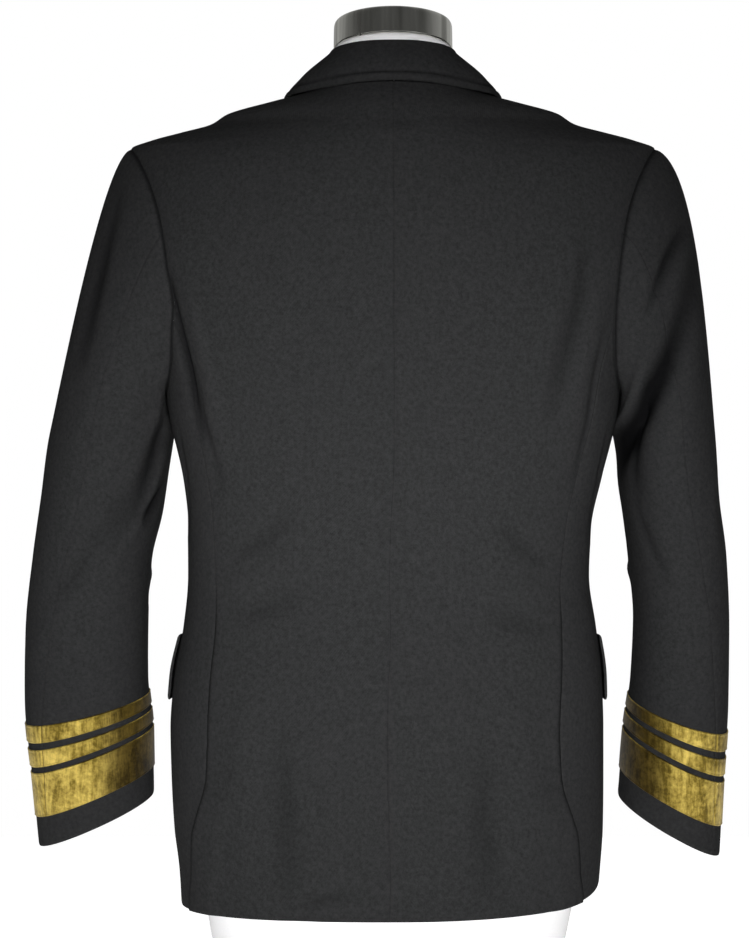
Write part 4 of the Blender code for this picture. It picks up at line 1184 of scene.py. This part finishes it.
def sleeves(side):
    """Top and under sleeve of one arm, and the lace on its cuff."""
    table = SLEEVES[side]
    heads = np.concatenate([HEAD_FIRST, np.linspace(0.050, 1.0, 40)[:-1]])
    cuff = table[-1][0]
    heights = np.linspace(table[0][0], cuff + CUFF_ROWS, 112)
    heights = np.concatenate([heights, cuff + np.array(CUFF_LAST)])
    for node, low, high in (
        ("top_sleeve_" + side, FOREARM, COUNT + HINDARM),
        ("under_sleeve_" + side, HINDARM, FOREARM),
    ):
        grid, normal, painted_shade = sleeve_surface(side, seam_places(low, high), heads, heights)
        run = lengths_along(grid, 1)
        along = lengths_along(grid, 0)
        pucker = ripple(run, along, 31) + ripple(run[:, -1:] - run, along, 33)
        pucker = pucker + HEAD_PUCKER * ripple(along, run, 35)
        seam = np.exp(-(((along - along[1:2] - ARMHOLE_SEAM) / ARMHOLE_SEAM_WIDTH) ** 2))
        pucker = pucker - SEAM_DIP * seam
        # Painted shade along the armhole seam, with that of the folds.
        painted_shade = np.maximum(painted_shade, ARMHOLE_SHADE * seam)
        grid = grid + normal * pucker[..., None]
        sides = ("first", "last", "high")
        cloth(node, grid, normal, WALL, sides, "black_wool", SEAM_DIP, painted_shade)
    for word, lower, upper in LACE:
        lace_ring(side, "lace_" + word + "_" + side, cuff + lower, cuff + upper)


def lace_ring(side, node, low, high):
    """A strip of lace round a cuff, its ends meeting at the hindarm seam."""
    wide = high - low
    places = spaced(wide, step=LACE_STEP, near=LACE_EDGE, least=3)
    place = np.linspace(HINDARM + LACE_GAP, HINDARM + COUNT - LACE_GAP, LACE_COLUMNS)
    grid, normal, _ = sleeve_surface(side, place, [], high - places)
    from_edge = np.minimum(places, wide - places)
    bead = np.exp(-((from_edge - BEAD_AT) / BEAD_WIDTH) ** 2)
    body = smooth_step((from_edge - RAISED_FROM) / RAISED_FADE)
    rise = SEAM + LACE_WALL * (BASE_SHARE + BEAD_SHARE * bead + RAISED_SHARE * body)
    grid = grid + normal * rise[:, None, None]
    wall = LACE_WALL * 0.8
    # Painted shade on the lace round the arm's inner side.
    turn = np.degrees(turn_at(place)) % 360.0
    inner = smooth_step((turn - LACE_SHADE_FROM) / LACE_SHADE_FADES[0])
    inner = inner * smooth_step((LACE_SHADE_TO - turn) / LACE_SHADE_FADES[1])
    inner_side_shade = np.broadcast_to(inner, grid.shape[:2])
    cloth(node, grid, normal, wall, ALL_SIDES, "gold_lace", LACE_DIP, inner_side_shade)


def pocket_flap(side, node):
    """A pocket flap with rounded corners, on the front and the side."""
    sign = SIGN[side]
    span = FLAP_BACK_ANGLE - FLAP_FRONT_ANGLE
    wide = span * FLAP_RADIUS
    share = shares(wide, FLAP_STEP)[None, :]
    fall = shares(FLAP_TOP - FLAP_BOTTOM, FLAP_STEP)[:, None]
    angle = FLAP_BACK_ANGLE + (FLAP_FRONT_ANGLE - FLAP_BACK_ANGLE) * share + 0.0 * fall
    from_end = np.minimum(share, 1.0 - share) * span * FLAP_RADIUS
    from_end = np.clip(FLAP_CORNER - from_end, 0.0, FLAP_CORNER)
    rounding = FLAP_CORNER - np.sqrt(np.clip(FLAP_CORNER ** 2 - from_end ** 2, 0.0, None))
    bottom = FLAP_BOTTOM + rounding
    height = FLAP_TOP + (bottom - FLAP_TOP) * fall
    belly = FLAP_BELLY * np.sin(math.pi * fall) + FLAP_WAVE * np.sin(9.0 * share + 1.0) * fall
    lift = LAY + FLAP_LAY + FLAP_WALL + belly
    if sign < 0:
        angle = math.pi - angle
    outer, normal = body_surface(angle, height, lift)
    cloth(node, outer, normal, FLAP_WALL, ALL_SIDES, "black_wool")


def breast_welt(node):
    """The welt of the breast pocket, on the left front."""
    share = shares(WELT_OUTER - WELT_INNER, FLAP_STEP)[None, :]
    up = shares(WELT_TOP - WELT_BOTTOM, WELT_STEP)[:, None]
    x = WELT_INNER + (WELT_OUTER - WELT_INNER) * share + 0.0 * up
    height = WELT_BOTTOM + (WELT_TOP - WELT_BOTTOM) * up + WELT_RISE * share
    outer, normal = front_surface(1, x, height, LAY + WELT_WALL)
    cloth(node, outer, normal, WELT_WALL, ALL_SIDES, "black_wool", WELT_DIP)


def round_solid(name, rings):
    """A whole body from a stack of rings, its ends closed flat."""
    rows, columns = rings.shape[:2]
    bm = bmesh.new()
    bmesh.ops.create_grid(bm, x_segments=columns, y_segments=rows - 1, size=0.5)
    for vert in bm.verts:
        turn = 2.0 * math.pi * (vert.co.x + 0.5)
        vert.co = (math.cos(turn), math.sin(turn), vert.co.y + 0.5)
    bmesh.ops.remove_doubles(bm, verts=bm.verts[:], dist=0.00005)
    for vert in bm.verts:
        turn = math.atan2(vert.co.y, vert.co.x) % (2.0 * math.pi)
        row = round(vert.co.z * (rows - 1))
        column = round(turn / (2.0 * math.pi) * columns) % columns
        vert.co = (rings[row, column] + np.array(PLACE)).tolist()
    open_edges = [edge for edge in bm.edges if edge.is_boundary]
    bmesh.ops.holes_fill(bm, edges=open_edges, sides=0)
    return place_mesh(name, mesh_from(name, bm))


def button(node, x, height):
    """A plain domed button with a rolled rim."""
    centre, normal = front_surface(1, np.array(x), np.array(height), SEAM + BUTTON_LAY)
    side_way = unit(np.cross([0.0, 0.0, 1.0], normal))
    up_way = np.cross(normal, side_way)
    turns = 2.0 * math.pi * np.arange(40) / 40.0
    flat = np.outer(np.cos(turns), side_way) + np.outer(np.sin(turns), up_way)
    rings = []
    for radius, rise in BUTTON_PROFILE:
        rings.append(centre + flat * BUTTON_RADIUS * radius + normal * BUTTON_RISE * rise)
    item = round_solid(node + "_shell", np.array(rings))
    stand_for(item, node, "gilt_button")


BUTTON_PROFILE = (
    (0.55, 0.02),
    (0.90, 0.04),
    (0.975, 0.12),
    (1.0, 0.24),
    (0.985, 0.37),
    (0.945, 0.44),
    (0.905, 0.45),
    (0.875, 0.48),
    (0.84, 0.56),
    (0.76, 0.68),
    (0.64, 0.80),
    (0.50, 0.89),
    (0.34, 0.955),
    (0.17, 0.99),
    (0.03, 1.0),
)


def dress_form():
    """The form and its neck in one body, and the metal cap on it."""
    turns = 2.0 * math.pi * np.arange(FORM_ROUND) / FORM_ROUND
    heights = [0.0, 0.004] + list(np.linspace(0.060, 0.650, 60))
    heights += list(np.linspace(0.655, ROWS[-1] - FORM_DROP, 44))
    rings = [form_ring(turns, np.full(FORM_ROUND, height)) for height in heights]
    rings[0][:, :2] *= 0.985
    for height in np.linspace(NECK[0][0], NECK[-1][0], 16):
        half, back, front, tilt = (float(curve(height)) for curve in NECK_CURVES)
        rings.append(ring_of((height, half, back, front), tilt, FORM_ROUND))
    item = round_solid("form_body", np.array(rings))
    stand_for(item, "dress_form", "form_cover")
    places = np.arange(len(CAP))
    curves = [smooth_curve(places, column) for column in zip(*CAP)]
    cap = []
    for place in np.linspace(0.0, places[-1], 36):
        cap.append(ring_of([float(curve(place)) for curve in curves], CAP_TILT, FORM_ROUND))
    item = round_solid("cap_shell", np.array(cap))
    stand_for(item, "neck_cap", "neck_metal")


def node_of(tree, kind, **inputs):
    """A new node, with values set on its inputs by name."""
    node = tree.nodes.new(kind)
    for key, value in inputs.items():
        node.inputs[key.replace("_", " ")].default_value = value
    return node


def link(source, output, target, entry):
    """Join one node's output to another's input."""
    source.id_data.links.new(source.outputs[output], target.inputs[entry])


def math_node(tree, operation):
    """A math node, such as a sum or a product."""
    node = tree.nodes.new("ShaderNodeMath")
    node.operation = operation
    return node


def noise(tree, scale, detail, roughness):
    """A noise texture."""
    return node_of(tree, "ShaderNodeTexNoise", Scale=scale, Detail=detail, Roughness=roughness)


def map_range(tree, from_low=0.0, from_high=1.0, to_low=0.0, to_high=1.0):
    """A node that maps one range of values to another."""
    return node_of(
        tree, "ShaderNodeMapRange", From_Min=from_low, From_Max=from_high, To_Min=to_low,
        To_Max=to_high,
    )


def flat_place(tree):
    """A piece's own flat coordinates, in metres."""
    flat = tree.nodes.new("ShaderNodeUVMap")
    flat.uv_map = "flat"
    return flat


def new_group(name, entries, result):
    """A node group with number inputs and one output."""
    tree = bpy.data.node_groups.new(name, "ShaderNodeTree")
    for entry in entries:
        tree.interface.new_socket(entry, in_out="INPUT", socket_type="NodeSocketFloat")
    tree.interface.new_socket(result, in_out="OUTPUT", socket_type="NodeSocketFloat")
    return tree, tree.nodes.new("NodeGroupInput"), tree.nodes.new("NodeGroupOutput")


def weave_group():
    """Twill lines with broken threads, as a height from flat coordinates."""
    tree, enter, leave = new_group("woven threads", ("Spacing", "Breaks"), "Height")
    flat = flat_place(tree)
    turned = node_of(tree, "ShaderNodeMapping", Rotation=(0.0, 0.0, TWILL_TURN))
    lines = node_of(tree, "ShaderNodeTexWave", Distortion=1.2, Detail=1.0)
    breaks = node_of(tree, "ShaderNodeTexNoise", Detail=3.0, Roughness=0.7)
    product = math_node(tree, "MULTIPLY_ADD")
    link(flat, "UV", turned, "Vector")
    link(turned, "Vector", lines, "Vector")
    link(flat, "UV", breaks, "Vector")
    link(enter, "Spacing", lines, "Scale")
    link(enter, "Breaks", breaks, "Scale")
    link(lines, "Fac", product, 0)
    link(breaks, "Fac", product, 1)
    link(breaks, "Fac", product, 2)
    link(product, "Value", leave, "Height")
    return tree


def mottle_group():
    """Soft patches at two sizes, as a mask over the surface."""
    tree, enter, leave = new_group("soft patches", ("Large", "Small"), "Mask")
    place = tree.nodes.new("ShaderNodeTexCoord")
    large = node_of(tree, "ShaderNodeTexNoise", Detail=2.0, Roughness=0.5)
    small = node_of(tree, "ShaderNodeTexNoise", Detail=3.0, Roughness=0.65)
    for patches, name in ((large, "Large"), (small, "Small")):
        link(place, "Object", patches, "Vector")
        link(enter, name, patches, "Scale")
    share = math_node(tree, "MULTIPLY")
    share.inputs[1].default_value = 0.65
    blend = math_node(tree, "MULTIPLY_ADD")
    blend.inputs[1].default_value = 0.5
    spread = map_range(tree, 0.25, 0.95)
    link(large, "Fac", share, 0)
    link(small, "Fac", blend, 0)
    link(share, "Value", blend, 2)
    link(blend, "Value", spread, "Value")
    link(spread, "Result", leave, "Mask")
    return tree


TWILL_TURN = math.radians(28.0)
WEAVE = weave_group()
MOTTLE = mottle_group()


def group_in(tree, group, **values):
    """A node group placed in a material."""
    node = tree.nodes.new("ShaderNodeGroup")
    node.node_tree = group
    for key, value in values.items():
        node.inputs[key].default_value = value
    return node


def colour_mix(tree, low, high):
    """A node that mixes two colours."""
    mix = tree.nodes.new("ShaderNodeMix")
    mix.data_type = "RGBA"
    mix.inputs["A"].default_value = (*low, 1.0)
    mix.inputs["B"].default_value = (*high, 1.0)
    return mix


def colour_between(source, output, low, high, shader):
    """Base colour that follows a mask from one value to another."""
    mix = colour_mix(source.id_data, low, high)
    link(source, output, mix, "Factor")
    link(mix, "Result", shader, "Base Color")
    return mix


def roughness_between(source, output, low, high, shader):
    """Let a pattern set the shader's roughness between two values."""
    spread = map_range(source.id_data, to_low=low, to_high=high)
    link(source, output, spread, "Value")
    link(spread, "Result", shader, "Roughness")


def bump_from(source, output, distance, strength, shader):
    """Let a pattern raise the shader's surface."""
    bump = node_of(source.id_data, "ShaderNodeBump", Distance=distance, Strength=strength)
    link(source, output, bump, "Height")
    link(bump, "Normal", shader, "Normal")


def darken(source, output, least, shader):
    """Multiply a colour down as painted shade, where a piece's own attribute marks it."""
    shade = colour_mix(source.id_data, least, least)
    shade.blend_type = "MULTIPLY"
    folds = source.id_data.nodes.new("ShaderNodeAttribute")
    folds.attribute_name = "painted_shade"
    link(folds, "Fac", shade, "Factor")
    link(source, output, shade, "A")
    link(shade, "Result", shader, "Base Color")


def new_look(name, **values):
    """A material and its shader, with plain values set on the shader."""
    material = bpy.data.materials.new(name)
    material.use_nodes = True
    shader = material.node_tree.nodes["Principled BSDF"]
    for key, value in values.items():
        shader.inputs[key.replace("_", " ")].default_value = value
    return material, material.node_tree, shader


def wool_look():
    """Near-black wool: fine grain, weave, and painted shade in folds and along seams."""
    material, tree, shader = new_look("black_wool_cloth", Roughness=0.92, Specular_IOR_Level=0.02)
    patches = group_in(tree, MOTTLE, Large=300.0, Small=800.0)
    weave = group_in(tree, WEAVE, Spacing=260.0, Breaks=1400.0)
    dark, light = (0.0094, 0.0095, 0.0098), (0.0288, 0.0289, 0.0292)
    grain = colour_between(patches, "Mask", dark, light, shader)
    # Painted shade: the colour is multiplied down where the piece's shade attribute marks folds and
    # seam lines.
    darken(grain, "Result", (0.20, 0.20, 0.21), shader)
    bump_from(weave, "Height", 0.0003, 0.45, shader)
    return material


def lace_look():
    """Ribbed metal braid: painted light and shade as dark and bright streaks across fine ribs, and
    painted shade on the arm's inner side.
    """
    material, tree, shader = new_look("gold_lace_braid", Metallic=0.60)
    flat = flat_place(tree)
    ribs = node_of(tree, "ShaderNodeTexWave", Scale=190.0, Distortion=0.6, Detail=1.0)
    twist = noise(tree, 1300.0, 2.0, 0.6)
    drawn = node_of(tree, "ShaderNodeMapping", Scale=(1.0, 0.14, 1.0))
    # Painted light and shade: noise streaks drawn along the ribs set the colour from dark to bright.
    streaks = noise(tree, 170.0, 3.0, 0.65)
    patches = group_in(tree, MOTTLE, Large=34.0, Small=260.0)
    height = math_node(tree, "ADD")
    shade = math_node(tree, "ADD")
    spread = map_range(tree, 0.35, 1.25)
    colours = tree.nodes.new("ShaderNodeValToRGB")
    stops = colours.color_ramp.elements
    stops[0].position = 0.10
    stops[0].color = (0.028, 0.018, 0.001, 1.0)
    stops[1].position = 1.0
    stops[1].color = (0.70, 0.52, 0.115, 1.0)
    stops.new(0.48).color = (0.17, 0.115, 0.007, 1.0)
    for target in (ribs, twist, drawn):
        link(flat, "UV", target, "Vector")
    link(drawn, "Vector", streaks, "Vector")
    link(ribs, "Fac", height, 0)
    link(twist, "Fac", height, 1)
    link(patches, "Mask", shade, 0)
    link(streaks, "Fac", shade, 1)
    link(shade, "Value", spread, "Value")
    link(spread, "Result", colours, "Fac")
    # Painted shade where the lace's own attribute marks it, on the arm's inner side.
    darken(colours, "Color", (0.22, 0.20, 0.16), shader)
    roughness_between(patches, "Mask", 0.52, 0.34, shader)
    bump_from(height, "Value", 0.0004, 0.55, shader)
    return material


def gilt_look():
    """Gilt metal, a little worn."""
    material, tree, shader = new_look("gilt_button_metal", Metallic=1.0)
    patches = group_in(tree, MOTTLE, Large=130.0, Small=900.0)
    colour_between(patches, "Mask", (0.60, 0.41, 0.13), (0.80, 0.58, 0.22), shader)
    roughness_between(patches, "Mask", 0.34, 0.20, shader)
    return material


def cover_look():
    """Pale cloth of the dress form."""
    material, tree, shader = new_look("form_cover_cloth", Roughness=0.85, Specular_IOR_Level=0.3)
    patches = group_in(tree, MOTTLE, Large=9.0, Small=500.0)
    grain = noise(tree, 1100.0, 2.0, 0.6)
    link(tree.nodes.new("ShaderNodeTexCoord"), "Object", grain, "Vector")
    colour_between(patches, "Mask", (0.66, 0.655, 0.66), (0.76, 0.755, 0.76), shader)
    bump_from(grain, "Fac", 0.0003, 0.30, shader)
    return material


def metal_look():
    """Polished plate with soft upright streaks, painted reflection bands in its colour."""
    material, tree, shader = new_look("neck_metal_plate", Metallic=1.0)
    drawn = node_of(tree, "ShaderNodeMapping", Scale=(1.0, 1.0, 0.05))
    streaks = noise(tree, 62.0, 3.0, 0.55)
    spread = map_range(tree, 0.36, 0.62)
    link(tree.nodes.new("ShaderNodeTexCoord"), "Object", drawn, "Vector")
    link(drawn, "Vector", streaks, "Vector")
    link(streaks, "Fac", spread, "Value")
    # Painted reflection: upright bands of lighter and darker colour.
    colour_between(spread, "Result", (0.46, 0.46, 0.42), (0.98, 0.98, 0.91), shader)
    roughness_between(spread, "Result", 0.28, 0.14, shader)
    return material


LOOKS = {
    "black_wool": wool_look(),
    "gold_lace": lace_look(),
    "gilt_button": gilt_look(),
    "form_cover": cover_look(),
    "neck_metal": metal_look(),
}


WHITE = (1.0, 1.0, 1.0, 1.0)
FLOOR_GREY = (0.85, 0.85, 0.85, 1.0)

# The camera: place, and how wide a view it has at the part's middle.
CAMERA_ACROSS = 0.0161
CAMERA_AWAY = 3.0
CAMERA_HEIGHT = 0.430
VIEW_WIDTH = 0.6705
SENSOR = 36.0


def show(name, data):
    """A new object in the scene, for a light, the floor or the camera."""
    item = bpy.data.objects.new(name, data)
    bpy.context.scene.collection.objects.link(item)
    return item


def spot_light(name, place, aim, cone, power):
    """A soft round light that fades towards the rim of its cone."""
    lamp = bpy.data.lights.new(name, "SPOT")
    lamp.spot_size = math.radians(cone)
    lamp.spot_blend = 1.0
    lamp.shadow_soft_size = 0.45
    lamp.energy = power
    item = show(name, lamp)
    item.location = place
    way = Vector(aim) - Vector(place)
    item.rotation_euler = way.to_track_quat("-Z", "Y").to_euler()
    item.visible_glossy = False


def studio():
    """Pale floor, soft lights before and behind, and a pale surround."""
    bm = bmesh.new()
    bmesh.ops.create_grid(bm, x_segments=1, y_segments=1, size=0.9)
    mesh = mesh_from("floor", bm)
    floor = show("floor", mesh)
    material, _, _ = new_look(
        "pale_floor", Base_Color=FLOOR_GREY, Roughness=0.9, Emission_Color=WHITE,
        Emission_Strength=0.85,
    )
    mesh.materials.append(material)
    world = bpy.data.worlds.new("surround")
    world.use_nodes = True
    tree = world.node_tree
    base = tree.nodes["Background"]
    base.inputs["Color"].default_value = WHITE
    facing = tree.nodes.new("ShaderNodeTexCoord")
    parts = tree.nodes.new("ShaderNodeSeparateXYZ")
    fall = map_range(tree, -1.0, 0.6, 0.36, 0.07)
    shown = node_of(tree, "ShaderNodeBackground", Color=WHITE, Strength=1.0)
    path = tree.nodes.new("ShaderNodeLightPath")
    mix = tree.nodes.new("ShaderNodeMixShader")
    link(facing, "Generated", parts, "Vector")
    link(parts, "Y", fall, "Value")
    link(fall, "Result", base, "Strength")
    link(path, "Is Camera Ray", mix, "Fac")
    link(base, "Background", mix, 1)
    link(shown, "Background", mix, 2)
    link(mix, "Shader", tree.nodes["World Output"], "Surface")
    bpy.context.scene.world = world
    for name, aim in (("back_light_high", 0.50), ("back_light_low", 0.23)):
        spot_light(name, (0.0, 3.7, 0.30), (0.0, 0.0, aim), 12.6, 1300.0)
    spot_light("front_light", (-0.9, -3.6, 0.60), (0.0, 0.0, 0.34), 22.0, 900.0)


def camera():
    """The camera, level behind the part, as the photo was taken."""
    lens = bpy.data.cameras.new("camera")
    lens.sensor_fit = "HORIZONTAL"
    lens.sensor_width = SENSOR
    lens.lens = SENSOR * CAMERA_AWAY / VIEW_WIDTH
    item = show("camera", lens)
    item.location = (CAMERA_ACROSS + PLACE[0], CAMERA_AWAY + PLACE[1], CAMERA_HEIGHT)
    item.rotation_euler = (math.radians(90.0), 0.0, math.radians(180.0))
    bpy.context.scene.camera = item


for side in ("left", "right"):
    back_panel(side, "back_" + side)
    side_panel(side, "side_" + side)
    front_panel(side, "front_" + side)
    lapel(side, "lapel_" + side)
    sleeves(side)
    pocket_flap(side, "pocket_flap_" + side)
collar("collar")
breast_welt("breast_welt")
for number, height in enumerate(BUTTON_HEIGHTS):
    button("button_%d" % (2 * number + 1), BUTTON_ACROSS, height)
    button("button_%d" % (2 * number + 2), -BUTTON_ACROSS, height)
dress_form()
studio()
camera()
bpy.context.scene.view_settings.view_transform = "Standard"
